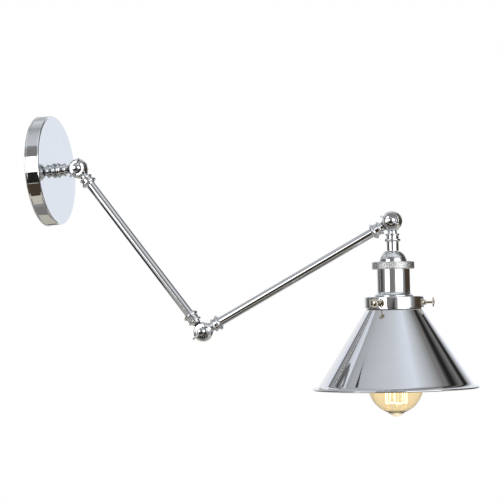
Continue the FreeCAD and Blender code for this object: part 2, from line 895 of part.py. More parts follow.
def main():
    """Write every node."""
    os.makedirs("parts", exist_ok=True)
    wall_pieces()
    knuckle("wall_knuckle", wall_hinge, 180, lower_arm_angle, wall_wing_angle)
    save("lower_arm_tube", laid(arm_tube(lower_arm_length), wall_hinge, lower_arm_angle))
    knuckle("elbow", elbow_hinge, lower_arm_angle + 180, upper_arm_angle, elbow_wing_angle)
    save("upper_arm_tube", laid(arm_tube(upper_arm_length), elbow_hinge, upper_arm_angle))
    knuckle("head_knuckle", head_hinge, upper_arm_angle + 180, head_angle, head_wing_angle)
    head_pieces()


main()
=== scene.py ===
"""Swing arm wall lamp in chrome: the looks of the lamp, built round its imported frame.

Sizes are in millimetres and become metres where a mesh is made. A turned piece is drawn along
its own axis as (along, radius) points, spun by a node tree and then laid in its place.
"""
import json
import logging
import math
from collections import Counter
from dataclasses import dataclass
from enum import Enum
from functools import partial
from typing import Any, Callable, Mapping, Optional, Union

import bmesh
import bpy
from mathutils import Matrix, Vector


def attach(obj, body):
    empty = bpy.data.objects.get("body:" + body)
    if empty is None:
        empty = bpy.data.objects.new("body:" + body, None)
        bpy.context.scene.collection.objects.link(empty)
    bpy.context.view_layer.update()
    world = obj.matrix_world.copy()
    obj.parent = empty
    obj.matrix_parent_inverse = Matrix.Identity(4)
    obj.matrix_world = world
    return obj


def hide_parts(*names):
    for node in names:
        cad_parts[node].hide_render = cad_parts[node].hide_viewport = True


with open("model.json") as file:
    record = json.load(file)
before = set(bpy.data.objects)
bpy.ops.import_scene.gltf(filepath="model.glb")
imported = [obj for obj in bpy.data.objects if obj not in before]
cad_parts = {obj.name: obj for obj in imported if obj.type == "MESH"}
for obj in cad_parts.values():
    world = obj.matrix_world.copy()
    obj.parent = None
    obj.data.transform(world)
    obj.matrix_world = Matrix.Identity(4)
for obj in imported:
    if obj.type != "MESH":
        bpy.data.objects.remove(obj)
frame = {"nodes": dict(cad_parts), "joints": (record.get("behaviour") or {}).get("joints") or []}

log = logging.getLogger("lamp")

Point = tuple[float, float]
Colour = tuple[float, float, float, float]
Inputs = Union[dict, tuple]
Sockets = Mapping[str, bpy.types.NodeSocket]
Wiring = Callable[[bpy.types.NodeTree, Sockets], bpy.types.Node]

MM = 0.001

# Fineness of the turned meshes
ARC_STEP_DEGREES = 6.0
FEWEST_ARC_STEPS = 3
CORNER_DEGREES = 25.0
WIDEST_CORNER_DEGREES = 120.0
SHARP_DEGREES = 38.0
ROUNDING_STEPS = 4
ROUNDING_SHARE = 0.45
BRACE = 0.12
SHORTEST_BRACED_RUN = 6 * BRACE
BRACED_TURN_DEGREES = 1.3 * ARC_STEP_DEGREES
BRACED_RUN_RATIO = 4
FACET_LENGTH = 0.7
FEWEST_SEGMENTS = 72
MOST_SEGMENTS = 240

# Fineness of the plates and the filament
PLATE_CORNER_DEGREES = 60.0
PLATE_EDGE_STEPS = 3
WIRE_SIDES = 10
WIRE_BEND_STEPS = 4

# Tolerances, all but the first in metres
NEARLY_ZERO = 1e-9
MERGE_DISTANCE = 1e-7
CUT_MARGIN = 10 * MERGE_DISTANCE
BAND_MARGIN = 1e-5

# Fits that the pieces share
RUNNING_FIT = 0.05
FACE_GAP = 0.05
TUBE_RADIUS = 5.0
TUBE_WALL = 1.0
TUBE_SEAT_DEPTH = 8.0
EDGE_BREAK = 0.2

# The sine and the cosine of an eighth of a turn
EIGHTH = math.sqrt(0.5)

# A pitch so long that the ridges of a coin edge stand upright
UPRIGHT = 1e6

MATH = "ShaderNodeMath"
NOISE = "ShaderNodeTexNoise"

JOINTS = {joint["name"]: joint for joint in frame["joints"]}


def hinge_centre(joint: str) -> Vector:
    """Where a joint of the frame stands, in millimetres."""
    return Vector(JOINTS[joint]["pos_m"]) / MM


def joint_axis(joint: str) -> Vector:
    """The direction of a joint's axis."""
    return Vector(JOINTS[joint]["axis"]).normalized()


def direction_at(degrees: float) -> Vector:
    """The direction at an angle above the horizontal, in the plane of the arms."""
    turn = math.radians(degrees)
    return Vector((math.cos(turn), 0.0, math.sin(turn)))


def linear(code: str) -> Colour:
    """Turn an sRGB hex colour to linear light.

    Args:
        code: the colour as "#RRGGBB".

    Returns:
        Linear red, green and blue, and an alpha of 1.
    """
    channels = [int(code[start:start + 2], 16) / 255 for start in (1, 3, 5)]
    steps = [c / 12.92 if c <= 0.04045 else ((c + 0.055) / 1.055) ** 2.4 for c in channels]
    return steps[0], steps[1], steps[2], 1.0


def scale_of(size_mm: float) -> float:
    """The texture scale at which one pattern cell measures this many millimetres."""
    return 1.0 / (size_mm * MM)


def feed(tree: bpy.types.NodeTree, node: bpy.types.Node, inputs: Inputs) -> None:
    """Fill a node's sockets.

    Args:
        tree: the tree that the node is in.
        node: the node.
        inputs: what goes in, in the order of the sockets or by their names or numbers: a value,
            a socket, or a node whose first output in use is linked.
    """
    pairs = inputs.items() if isinstance(inputs, dict) else enumerate(inputs)
    for key, value in pairs:
        if isinstance(value, bpy.types.Node):
            value = next(socket for socket in value.outputs if socket.enabled)
        if isinstance(value, bpy.types.NodeSocket):
            tree.links.new(value, node.inputs[key])
        else:
            node.inputs[key].default_value = value


def add_node(tree: bpy.types.NodeTree, kind: str, inputs: Inputs = (), **settings: Any) -> bpy.types.Node:
    """Add a node to a tree, with its settings, values and links.

    Args:
        tree: the tree that gets the node.
        kind: the node's type.
        inputs: what goes into its sockets.
        settings: the node's own properties.

    Returns:
        The new node.
    """
    node = tree.nodes.new(kind)
    for name, value in settings.items():
        setattr(node, name, value)
    feed(tree, node, inputs)
    return node


def put(name: str, data: bpy.types.ID) -> bpy.types.Object:
    """Put an object in the scene.

    Args:
        name: the object's name.
        data: the mesh, lamp or camera that it shows.

    Returns:
        The object.
    """
    obj = bpy.data.objects.new(name, data)
    bpy.context.scene.collection.objects.link(obj)
    return obj


# Drawing of outlines

def arc_points(start: Point, through: Point, end: Point) -> list[Point]:
    """Points along the circle that passes through three points.

    Args:
        start: where the arc starts, which is left out of the result.
        through: a point that the arc passes.
        end: where the arc ends, which is the last point of the result.

    Returns:
        The points of the arc.
    """
    (x1, y1), (x2, y2), (x3, y3) = start, through, end
    cross = 2 * (x1 * (y2 - y3) + x2 * (y3 - y1) + x3 * (y1 - y2))
    if abs(cross) < NEARLY_ZERO:
        return [end]
    s1, s2, s3 = x1 * x1 + y1 * y1, x2 * x2 + y2 * y2, x3 * x3 + y3 * y3
    centre_x = (s1 * (y2 - y3) + s2 * (y3 - y1) + s3 * (y1 - y2)) / cross
    centre_y = (s1 * (x3 - x2) + s2 * (x1 - x3) + s3 * (x2 - x1)) / cross
    radius = math.hypot(x1 - centre_x, y1 - centre_y)
    first = math.atan2(y1 - centre_y, x1 - centre_x)
    middle = (math.atan2(y2 - centre_y, x2 - centre_x) - first) % math.tau
    sweep = (math.atan2(y3 - centre_y, x3 - centre_x) - first) % math.tau
    if middle > sweep:
        sweep -= math.tau
    count = max(FEWEST_ARC_STEPS, math.ceil(abs(math.degrees(sweep)) / ARC_STEP_DEGREES))
    turns = [first + sweep * number / count for number in range(1, count)]
    return [(centre_x + radius * math.cos(t), centre_y + radius * math.sin(t)) for t in turns] + [end]


def needs_brace(run: Vector, neighbour: Optional[Vector]) -> bool:
    """Whether a run of an outline gets a point near the end where it meets its neighbour.

    Args:
        run: the run.
        neighbour: the run that it meets there, if there is one.

    Returns:
        True where a long run turns into a corner, and False along an arc.
    """
    if neighbour is None or run.length < SHORTEST_BRACED_RUN or neighbour.length < NEARLY_ZERO:
        return False
    turns = run.angle(neighbour) > math.radians(BRACED_TURN_DEGREES)
    return turns or neighbour.length < run.length / BRACED_RUN_RATIO


@dataclass
class Profile:
    """An outline of (along, radius) points, drawn step by step.

    A closed outline runs round the section of a ring. An open one starts on the axis or at a rim
    and ends on the axis.
    """

    points: list[Point]
    closed: bool = True

    @classmethod
    def ring(cls, start: float, end: float, inner: float, outer: float) -> "Profile":
        """The outline of a plain ring between two levels and two radii."""
        return cls([(start, inner)]).line(start, outer).line(end, outer).line(end, inner)

    @classmethod
    def rod(cls, start: float, radius: float) -> "Profile":
        """The beginning of a solid piece: from the axis out along its flat end."""
        return cls([(start, 0.0)], closed=False).line(start, radius)

    def line(self, along: float, radius: float, steps: int = 1) -> "Profile":
        """Draw a straight run.

        Args:
            along: where it ends along the axis.
            radius: how far from the axis it ends.
            steps: how many equal parts the run is divided into.

        Returns:
            The same outline.
        """
        start_along, start_radius = self.points[-1]
        rise, widening = along - start_along, radius - start_radius
        for number in range(1, steps + 1):
            share = number / steps
            self.points.append((start_along + rise * share, start_radius + widening * share))
        return self

    def arc(self, through: Point, end: Point) -> "Profile":
        """Draw a round run that passes through a point, and return the same outline."""
        self.points.extend(arc_points(self.points[-1], through, end))
        return self

    def crown(self, rise: float) -> "Profile":
        """Draw a round crown that ends on the axis.

        Args:
            rise: how far the crown stands up along the axis.

        Returns:
            The same outline.
        """
        along, radius = self.points[-1]
        sphere = (radius**2 + rise**2) / (2 * rise)
        half = math.asin(min(1.0, radius / sphere)) / 2
        through = (along + rise - sphere * (1 - math.cos(half)), sphere * math.sin(half))
        return self.arc(through, (along + rise, 0.0))

    def rounded(self, size: float = EDGE_BREAK) -> "Profile":
        """Break the sharp corners.

        Args:
            size: the radius that a corner gets, where its two runs leave room for it.

        Returns:
            A new outline.
        """
        count = len(self.points)
        widest = math.radians(WIDEST_CORNER_DEGREES)
        result: list[Point] = []
        for number, corner in enumerate(self.points):
            here = Vector(corner)
            run_in = here - Vector(self.points[number - 1])
            run_out = Vector(self.points[(number + 1) % count]) - here
            at_end = not self.closed and number in (0, count - 1)
            if at_end or run_in.length < NEARLY_ZERO or run_out.length < NEARLY_ZERO:
                result.append(corner)
                continue
            turn = run_in.angle(run_out)
            if math.degrees(turn) < CORNER_DEGREES:
                result.append(corner)
                continue
            room = ROUNDING_SHARE * min(run_in.length, run_out.length)
            cut = min(size * math.tan(min(turn, widest) / 2), room)
            start = here - run_in.normalized() * cut
            end = here + run_out.normalized() * cut
            for step in range(ROUNDING_STEPS + 1):
                share = step / ROUNDING_STEPS
                spot = start * (1 - share) ** 2 + here * (2 * share * (1 - share)) + end * share**2
                result.append((spot.x, max(0.0, spot.y)))
        return Profile(result, self.closed)

    def braced(self) -> list[Point]:
        """Add a point near each end of the long straight runs, so that flat faces shade flat.

        Returns:
            The points of the finished outline, with the first repeated at the end of a closed one.
        """
        ends = self.points + [self.points[0]] if self.closed else self.points
        runs = [Vector(after) - Vector(before) for before, after in zip(ends, ends[1:])]
        last = len(runs) - 1
        result = [ends[0]]
        for number, run in enumerate(runs):
            before = runs[number - 1] if self.closed or number > 0 else None
            after = runs[(number + 1) % len(runs)] if self.closed or number < last else None
            step = run.normalized() * BRACE
            if needs_brace(run, before):
                result.append(tuple(Vector(ends[number]) + step))
            if needs_brace(run, after):
                result.append(tuple(Vector(ends[number + 1]) - step))
            result.append(ends[number + 1])
        return result


@dataclass(frozen=True)
class Place:
    """Where a piece stands: its centre in millimetres, its axis and the direction of its side."""

    centre: Vector = Vector((0.0, 0.0, 0.0))
    along: Vector = Vector((1.0, 0.0, 0.0))
    side: Vector = Vector((0.0, 1.0, 0.0))

    def matrix(self) -> Matrix:
        """Work out how a mesh is laid in its place.

        Returns:
            The matrix, for a mesh in metres that is drawn along its own X axis.
        """
        third = self.along.cross(self.side)
        turn = Matrix((self.along, self.side, third)).transposed().to_4x4()
        return Matrix.Translation(self.centre * MM) @ turn


# Node trees for what is spun, repeated or follows a path

@dataclass(frozen=True)
class Relief:
    """What is cut into the widest band of a turned piece: a thread, a knurl or a coin edge.

    Starts is how many ridges stand round the piece, and pitch how far a ridge travels along the
    axis while it moves by one. A crossed relief has a second set of ridges that lean the other way.
    """

    band_radius: float
    depth: float
    starts: int
    pitch: float
    segments: int
    crossed: bool = False
    roundness: float = 0.0


def wire_turned(tree: bpy.types.NodeTree, given: Sockets) -> bpy.types.Node:
    """Spin an outline about the X axis and cut a relief into its widest band.

    Args:
        tree: the tree to wire.
        given: its inputs. The geometry is the outline, as vertices at (along, radius, 0).

    Returns:
        The node that gives the spun surface.
    """
    node = partial(add_node, tree)
    columns = node(MATH, (given["Segments"], 1.0), operation="ADD")
    last_row = node(MATH, (given["Rows"], 1.0), operation="SUBTRACT")
    grid = node("GeometryNodeMeshGrid", {
        "Size X": 1.0, "Size Y": 1.0, "Vertices X": given["Rows"], "Vertices Y": columns,
    })
    place = node("GeometryNodeInputPosition")
    spot = node("ShaderNodeSeparateXYZ", (place,)).outputs
    row_share, turn_share = (node(MATH, (spot[way], 0.5), operation="ADD") for way in "XY")
    row_place = node(MATH, (row_share, last_row), operation="MULTIPLY")
    row = node(MATH, (row_place,), operation="ROUND")
    outline = node("GeometryNodeSampleIndex", {
        "Geometry": given["Geometry"], "Value": place, "Index": row,
    }, data_type="FLOAT_VECTOR", domain="POINT")
    drawn = node("ShaderNodeSeparateXYZ", (outline,)).outputs
    along, radius = drawn["X"], drawn["Y"]

    ridge = node(MATH, (turn_share, given["Starts"]), operation="MULTIPLY")
    lean = node(MATH, (along, given["Pitch"]), operation="DIVIDE")
    ridges = []
    for way in ("ADD", "SUBTRACT"):
        phase = node(MATH, (ridge, lean), operation=way)
        wave = node(MATH, (phase, 0.5), operation="PINGPONG")
        ridges.append(node(MATH, (wave, 2.0), operation="MULTIPLY"))
    uncrossed = node(MATH, (1.0, given["Crossed"]), operation="SUBTRACT")
    second = node(MATH, (ridges[1], uncrossed), operation="MAXIMUM")
    sharp = node(MATH, (ridges[0], second), operation="MINIMUM")
    soft = node("ShaderNodeMapRange", {"Value": sharp}, interpolation_type="SMOOTHSTEP")
    shape = node("ShaderNodeMix", {0: given["Roundness"], 2: sharp, 3: soft}, data_type="FLOAT")
    sunk = node(MATH, (shape, 1.0), operation="SUBTRACT")
    depth = node(MATH, (sunk, given["Depth"]), operation="MULTIPLY")
    band_edge = node(MATH, (given["Band Radius"], BAND_MARGIN), operation="SUBTRACT")
    on_band = node(MATH, (radius, band_edge), operation="GREATER_THAN")
    cut = node(MATH, (depth, on_band), operation="MULTIPLY")
    reach = node(MATH, (radius, cut), operation="ADD")

    angle = node(MATH, (turn_share, math.tau), operation="MULTIPLY")
    swings = [node(MATH, (angle,), operation=wave) for wave in ("SINE", "COSINE")]
    across, up = (node(MATH, (reach, swing), operation="MULTIPLY") for swing in swings)
    spun = node("ShaderNodeCombineXYZ", (along, across, up))
    wrapped = node("GeometryNodeSetPosition", {"Geometry": grid, "Position": spun})
    return node("GeometryNodeMergeByDistance", {"Geometry": wrapped, "Distance": MERGE_DISTANCE})


def wire_round(tree: bpy.types.NodeTree, given: Sockets) -> bpy.types.Node:
    """Repeat a shape at equal turns about the X axis.

    Args:
        tree: the tree to wire.
        given: its inputs. The geometry is the shape at the first turn.

    Returns:
        The node that gives the shapes.
    """
    node = partial(add_node, tree)
    spots = node("GeometryNodeMeshLine", {"Count": given["Count"], "Offset": (0.0, 0.0, 0.0)})
    number = node("GeometryNodeInputIndex")
    whole = node(MATH, (number, math.tau), operation="MULTIPLY")
    turn = node(MATH, (whole, given["Count"]), operation="DIVIDE")
    rotation = node("ShaderNodeCombineXYZ", {"X": turn})
    return node("GeometryNodeInstanceOnPoints", {
        "Points": spots, "Instance": given["Geometry"], "Rotation": rotation,
    })


def wire_cage(tree: bpy.types.NodeTree, given: Sockets) -> bpy.types.Node:
    """Wind one wire up and down round a cage, as a filament is hung.

    Args:
        tree: the tree to wire.
        given: its inputs. The geometry isn't used.

    Returns:
        The node that gives the wire.
    """
    node = partial(add_node, tree)
    ends = node(MATH, (given["Strands"], 2.0), operation="MULTIPLY")
    spots = node("GeometryNodeMeshLine", {"Count": ends, "Offset": (MM, 0.0, 0.0)})
    number = node("GeometryNodeInputIndex")
    halved = node(MATH, (number, 0.5), operation="MULTIPLY")
    strand = node(MATH, (halved,), operation="FLOOR")
    share = node(MATH, (strand, given["Strands"]), operation="DIVIDE")
    angle = node(MATH, (share, math.tau), operation="MULTIPLY")
    swings = [node(MATH, (angle,), operation=wave) for wave in ("SINE", "COSINE")]
    across, up = (node(MATH, (given["Cage Radius"], swing), operation="MULTIPLY") for swing in swings)
    next_one = node(MATH, (number, 1.0), operation="ADD")
    half_step = node(MATH, (next_one, 0.5), operation="MULTIPLY")
    pair = node(MATH, (half_step,), operation="FLOOR")
    at_bottom = node(MATH, (pair, 2.0), operation="MODULO")
    level = node("ShaderNodeMix", {0: at_bottom, 2: given["Top"], 3: given["Bottom"]}, data_type="FLOAT")
    corner = node("ShaderNodeCombineXYZ", (level, across, up))
    bent = node("GeometryNodeSetPosition", {"Geometry": spots, "Position": corner})
    path = node("GeometryNodeMeshToCurve", {"Mesh": bent})
    eased = node("GeometryNodeFilletCurve", {
        "Curve": path, "Radius": given["Bend"], "Count": WIRE_BEND_STEPS,
    }, mode="POLY")
    section = node("GeometryNodeCurvePrimitiveCircle", {
        "Resolution": WIRE_SIDES, "Radius": given["Wire Radius"],
    })
    return node("GeometryNodeCurveToMesh", {"Curve": eased, "Profile Curve": section, "Fill Caps": True})


def geometry_tree(name: str, wire: Wiring, values: dict[str, Any]) -> bpy.types.NodeTree:
    """Make a geometry tree that ends in real, smooth geometry in its material.

    Args:
        name: the tree's name.
        wire: wires the tree's own nodes and returns the last one.
        values: values for its inputs after the geometry, which give their names and types.

    Returns:
        The tree.
    """
    kinds = {int: "NodeSocketInt", float: "NodeSocketFloat", bpy.types.Material: "NodeSocketMaterial"}
    tree = bpy.data.node_groups.new(name, "GeometryNodeTree")
    for way in ("OUTPUT", "INPUT"):
        tree.interface.new_socket("Geometry", in_out=way, socket_type="NodeSocketGeometry")
    for socket, value in values.items():
        tree.interface.new_socket(socket, in_out="INPUT", socket_type=kinds[type(value)])
    given = add_node(tree, "NodeGroupInput").outputs
    real = add_node(tree, "GeometryNodeRealizeInstances", {"Geometry": wire(tree, given)})
    smooth = add_node(tree, "GeometryNodeSetShadeSmooth", {"Geometry": real})
    dressed = add_node(tree, "GeometryNodeSetMaterial", {"Geometry": smooth, "Material": given["Material"]})
    add_node(tree, "NodeGroupOutput", {"Geometry": dressed})
    return tree


def run_tree(name: str, wire: Wiring, mesh: bpy.types.Mesh, values: dict[str, Any]) -> bpy.types.Mesh:
    """Run a geometry tree on a mesh and keep what comes out as a plain mesh.

    Args:
        name: the tree's name.
        wire: wires the tree on its first use.
        mesh: what goes into its geometry input.
        values: its other inputs, by name.

    Returns:
        The plain mesh.
    """
    tree = bpy.data.node_groups.get(name) or geometry_tree(name, wire, values)
    carrier = put("carrier", mesh)
    modifier = carrier.modifiers.new("nodes", "NODES")
    modifier.node_group = tree
    for item in tree.interface.items_tree:
        if item.in_out == "INPUT" and item.name in values:
            modifier[item.identifier] = values[item.name]
    depsgraph = bpy.context.evaluated_depsgraph_get()
    result = bpy.data.meshes.new_from_object(carrier.evaluated_get(depsgraph))
    carrier.modifiers.clear()
    bpy.data.objects.remove(carrier)
    return result


# Finishes

@dataclass(frozen=True)
class Metal:
    """A metal whose sheen wanders a little from place to place."""

    slot: str
    name: str
    bright: str
    dull: str
    roughness: float
    roughness_spread: float
    patch_mm: float
    ripple_mm: float
    ripple_height_mm: float

    def shade(self, tree: bpy.types.NodeTree, shader: bpy.types.Node) -> None:
        """Wire the metal's nodes.

        Args:
            tree: the material's tree.
            shader: its Principled BSDF.
        """
        node = partial(add_node, tree)
        place = node("ShaderNodeTexCoord").outputs["Object"]
        patches = node(NOISE, {
            "Vector": place, "Scale": scale_of(self.patch_mm), "Detail": 4.0, "Roughness": 0.55,
        })
        tone = node("ShaderNodeMix", {
            0: patches, 6: linear(self.bright), 7: linear(self.dull),
        }, data_type="RGBA")
        gloss = node("ShaderNodeMapRange", {
            "Value": patches, "From Min": 0.3, "From Max": 0.7,
            "To Min": self.roughness, "To Max": self.roughness + self.roughness_spread,
        })
        ripple = node(NOISE, {"Vector": place, "Scale": scale_of(self.ripple_mm), "Detail": 2.0})
        bump = node("ShaderNodeBump", {
            "Height": ripple, "Distance": self.ripple_height_mm * MM, "Strength": 1.0,
        })
        feed(tree, shader, {"Metallic": 1.0, "Base Color": tone, "Roughness": gloss, "Normal": bump})


@dataclass(frozen=True)
class Glass:
    """Blown or drawn glass with faint waves from the blowing."""

    slot: str
    name: str
    tint: str
    index: float
    wave_mm: float
    wave_height_mm: float

    def shade(self, tree: bpy.types.NodeTree, shader: bpy.types.Node) -> None:
        """Wire the glass's nodes.

        Args:
            tree: the material's tree.
            shader: its Principled BSDF.
        """
        node = partial(add_node, tree)
        place = node("ShaderNodeTexCoord").outputs["Object"]
        waves = node(NOISE, {"Vector": place, "Scale": scale_of(self.wave_mm), "Detail": 1.0})
        bump = node("ShaderNodeBump", {
            "Height": waves, "Distance": self.wave_height_mm * MM, "Strength": 1.0,
        })
        feed(tree, shader, {
            "Base Color": linear(self.tint), "Transmission Weight": 1.0, "Roughness": 0.0,
            "IOR": self.index, "Normal": bump,
        })


@dataclass(frozen=True)
class Body:
    """A solid dielectric with mottled colour: porcelain, pressed fibre or fused glass."""

    slot: str
    name: str
    base: str
    speck: str
    roughness: float
    roughness_spread: float
    coat: float
    grain_mm: float
    grain_height_mm: float

    def shade(self, tree: bpy.types.NodeTree, shader: bpy.types.Node) -> None:
        """Wire the body's nodes.

        Args:
            tree: the material's tree.
            shader: its Principled BSDF.
        """
        node = partial(add_node, tree)
        place = node("ShaderNodeTexCoord").outputs["Object"]
        grain = node(NOISE, {
            "Vector": place, "Scale": scale_of(self.grain_mm), "Detail": 6.0, "Roughness": 0.6,
        })
        tone = node("ShaderNodeMix", {
            0: grain, 6: linear(self.base), 7: linear(self.speck),
        }, data_type="RGBA")
        gloss = node("ShaderNodeMapRange", {
            "Value": grain, "To Min": self.roughness, "To Max": self.roughness + self.roughness_spread,
        })
        bump = node("ShaderNodeBump", {
            "Height": grain, "Distance": self.grain_height_mm * MM, "Strength": 1.0,
        })
        feed(tree, shader, {
            "Coat Weight": self.coat, "Base Color": tone, "Roughness": gloss, "Normal": bump,
        })


@dataclass(frozen=True)
class Ember:
    """A carbonised wire that glows, brighter in spots."""

    slot: str
    name: str
    wire: str
    glow: str
    strength: float
    dim_share: float
    spot_mm: float
    roughness: float

    def shade(self, tree: bpy.types.NodeTree, shader: bpy.types.Node) -> None:
        """Wire the ember's nodes.

        Args:
            tree: the material's tree.
            shader: its Principled BSDF.
        """
        node = partial(add_node, tree)
        place = node("ShaderNodeTexCoord").outputs["Object"]
        spots = node(NOISE, {"Vector": place, "Scale": scale_of(self.spot_mm)})
        heat = node("ShaderNodeMapRange", {
            "Value": spots, "To Min": self.dim_share * self.strength, "To Max": self.strength,
        })
        feed(tree, shader, {
            "Base Color": linear(self.wire), "Metallic": 1.0, "Roughness": self.roughness,
            "Emission Color": linear(self.glow), "Emission Strength": heat,
        })


class Finish(Enum):
    """The lamp's finishes, each named for the real material."""

    # Bright chrome plate over buffed brass: a cold, nearly colourless mirror with faint buffing haze
    CHROME = Metal(
        "polished_chrome", "bright_chrome_plate", bright="#E9EBEE", dull="#E0E2E6", roughness=0.025,
        roughness_spread=0.03, patch_mm=14.0, ripple_mm=9.0, ripple_height_mm=0.0012,
    )
    # Chrome over spun steel: the same mirror, a touch greyer, with slow waves left by the spinning tool
    SPUN_CHROME = Metal(
        "shade_chrome", "spun_chrome_plate", bright="#E2E4E8", dull="#D8DADF", roughness=0.03,
        roughness_spread=0.035, patch_mm=22.0, ripple_mm=16.0, ripple_height_mm=0.001,
    )
    # Chrome over rolled knurling: the ridges scatter the mirror to a pale satin
    KNURLED_CHROME = Metal(
        "knurled_chrome", "knurled_chrome_plate", bright="#E8E9EA", dull="#DADCDD", roughness=0.3,
        roughness_spread=0.1, patch_mm=1.6, ripple_mm=0.9, ripple_height_mm=0.006,
    )
    # Nickel over turned brass, thin at the edges: a warm, slightly yellow mirror
    NICKEL = Metal(
        "nickelled_brass", "nickel_plated_brass", bright="#E6DFD2", dull="#D3C9B6", roughness=0.06,
        roughness_spread=0.08, patch_mm=2.5, ripple_mm=1.2, ripple_height_mm=0.004,
    )
    # Drawn brass, lacquered: yellow with darker handling marks
    BRASS = Metal(
        "brass", "drawn_brass", bright="#D9B66A", dull="#B98F45", roughness=0.16,
        roughness_spread=0.14, patch_mm=6.0, ripple_mm=1.0, ripple_height_mm=0.004,
    )
    # Steel with blue-white zinc: grey with cloudy spangle
    ZINC = Metal(
        "zinc_steel", "zinc_plated_steel", bright="#B9BDC0", dull="#8F9498", roughness=0.28,
        roughness_spread=0.16, patch_mm=4.0, ripple_mm=0.8, ripple_height_mm=0.01,
    )
    # Vulcanised fibre: dense red-brown card with a matte felted face
    FIBRE = Body(
        "fibre", "vulcanised_fibre", base="#6E3A26", speck="#4F2819", roughness=0.6,
        roughness_spread=0.2, coat=0.0, grain_mm=0.8, grain_height_mm=0.03,
    )
    # Glazed porcelain: warm white under a glassy coat
    PORCELAIN = Body(
        "porcelain", "glazed_porcelain", base="#F0EDE3", speck="#E4DFD2", roughness=0.2,
        roughness_spread=0.1, coat=0.6, grain_mm=5.0, grain_height_mm=0.01,
    )
    # Fused black glass between a bulb's cap and its contact: nearly black and shiny
    BLACK_GLASS = Body(
        "black_glass", "fused_black_glass", base="#17171A", speck="#24242A", roughness=0.12,
        roughness_spread=0.1, coat=0.4, grain_mm=2.0, grain_height_mm=0.01,
    )
    # Soda glass tinted amber and blown: straw coloured where thin, deeper at the edges
    AMBER_GLASS = Glass(
        "amber_glass", "amber_soda_glass", tint="#FFF2D4", index=1.48, wave_mm=18.0, wave_height_mm=0.01,
    )
    # Clear lead glass of the bulb's stem: colourless with bright edges
    CLEAR_GLASS = Glass(
        "clear_glass", "clear_lead_glass", tint="#F6F8F7", index=1.52, wave_mm=6.0, wave_height_mm=0.01,
    )
    # Carbonised filament wire, lit: straw white against the amber glass
    EMBER = Ember(
        "filament_wire", "carbonised_filament", wire="#8A6A4A", glow="#FFEBC0", strength=5.0,
        dim_share=0.6, spot_mm=3.0, roughness=0.45,
    )

    @property
    def material(self) -> bpy.types.Material:
        """The finish's material.

        Returns:
            The material, which is made on first use.
        """
        recipe = self.value
        found = bpy.data.materials.get(recipe.name)
        if found:
            return found
        material = bpy.data.materials.new(recipe.name)
        material.use_nodes = True
        tree = material.node_tree
        recipe.shade(tree, tree.nodes["Principled BSDF"])
        return material


# Making of pieces

def face_outwards(mesh: bpy.types.Mesh) -> None:
    """Turn a mesh's faces outwards.

    Args:
        mesh: the mesh, which is changed.
    """
    work = bmesh.new()
    work.from_mesh(mesh)
    bmesh.ops.recalc_face_normals(work, faces=work.faces)
    work.to_mesh(mesh)
    work.free()


def turned(name: str, profile: Profile, finish: Finish, relief: Optional[Relief] = None) -> bpy.types.Mesh:
    """Spin an outline about the X axis.

    Args:
        name: the mesh's name.
        profile: the outline.
        finish: what the surface is made of.
        relief: what is cut into its widest band, if anything.

    Returns:
        A mesh in metres along its own X axis, closed unless its outline starts at a rim.
    """
    points = profile.braced()
    outline = bpy.data.meshes.new(name)
    outline.from_pydata([(along * MM, radius * MM, 0.0) for along, radius in points], [], [])
    widest = max(radius for _, radius in points)
    facets = round(math.tau * widest / FACET_LENGTH)
    segments = min(MOST_SEGMENTS, max(FEWEST_SEGMENTS, facets))
    cut = relief or Relief(widest, depth=0.0, starts=1, pitch=1.0, segments=segments)
    mesh = run_tree("Turned surface", wire_turned, outline, {
        "Rows": len(points), "Segments": cut.segments, "Band Radius": cut.band_radius * MM,
        "Depth": cut.depth * MM, "Starts": cut.starts, "Pitch": cut.pitch * MM,
        "Crossed": float(cut.crossed), "Roundness": cut.roundness, "Material": finish.material,
    })
    mesh.name = name
    face_outwards(mesh)
    return mesh


def repeated(name: str, shape: bpy.types.Mesh, count: int, finish: Finish) -> bpy.types.Mesh:
    """Repeat a shape at equal turns about the X axis.

    Args:
        name: the mesh's name.
        shape: the shape at the first turn.
        count: how many there are.
        finish: what they are made of.

    Returns:
        One mesh with all of them.
    """
    mesh = run_tree("Round of shapes", wire_round, shape, {"Count": count, "Material": finish.material})
    mesh.name = name
    return mesh


def extruded(name: str, outline: list[Point], thickness: float, edge: float) -> bpy.types.Mesh:
    """A flat plate in the XZ plane with broken edges.

    Args:
        name: the mesh's name.
        outline: its corners as (along, up) points.
        thickness: how thick it is, across Y.
        edge: how far its edges are rounded.

    Returns:
        A closed mesh in metres.
    """
    work = bmesh.new()
    corners = [work.verts.new((x * MM, -thickness / 2 * MM, z * MM)) for x, z in outline]
    face = work.faces.new(corners)
    grown = bmesh.ops.extrude_face_region(work, geom=[face])
    moved = [item for item in grown["geom"] if isinstance(item, bmesh.types.BMVert)]
    bmesh.ops.translate(work, verts=moved, vec=(0.0, thickness * MM, 0.0))
    bmesh.ops.recalc_face_normals(work, faces=work.faces)
    corner_angle = math.radians(PLATE_CORNER_DEGREES)
    rims = [rim for rim in work.edges if rim.calc_face_angle(0.0) > corner_angle]
    bmesh.ops.bevel(
        work, geom=rims, offset=edge * MM, segments=PLATE_EDGE_STEPS, affect="EDGES", profile=0.5,
    )
    mesh = bpy.data.meshes.new(name)
    work.to_mesh(mesh)
    work.free()
    return mesh


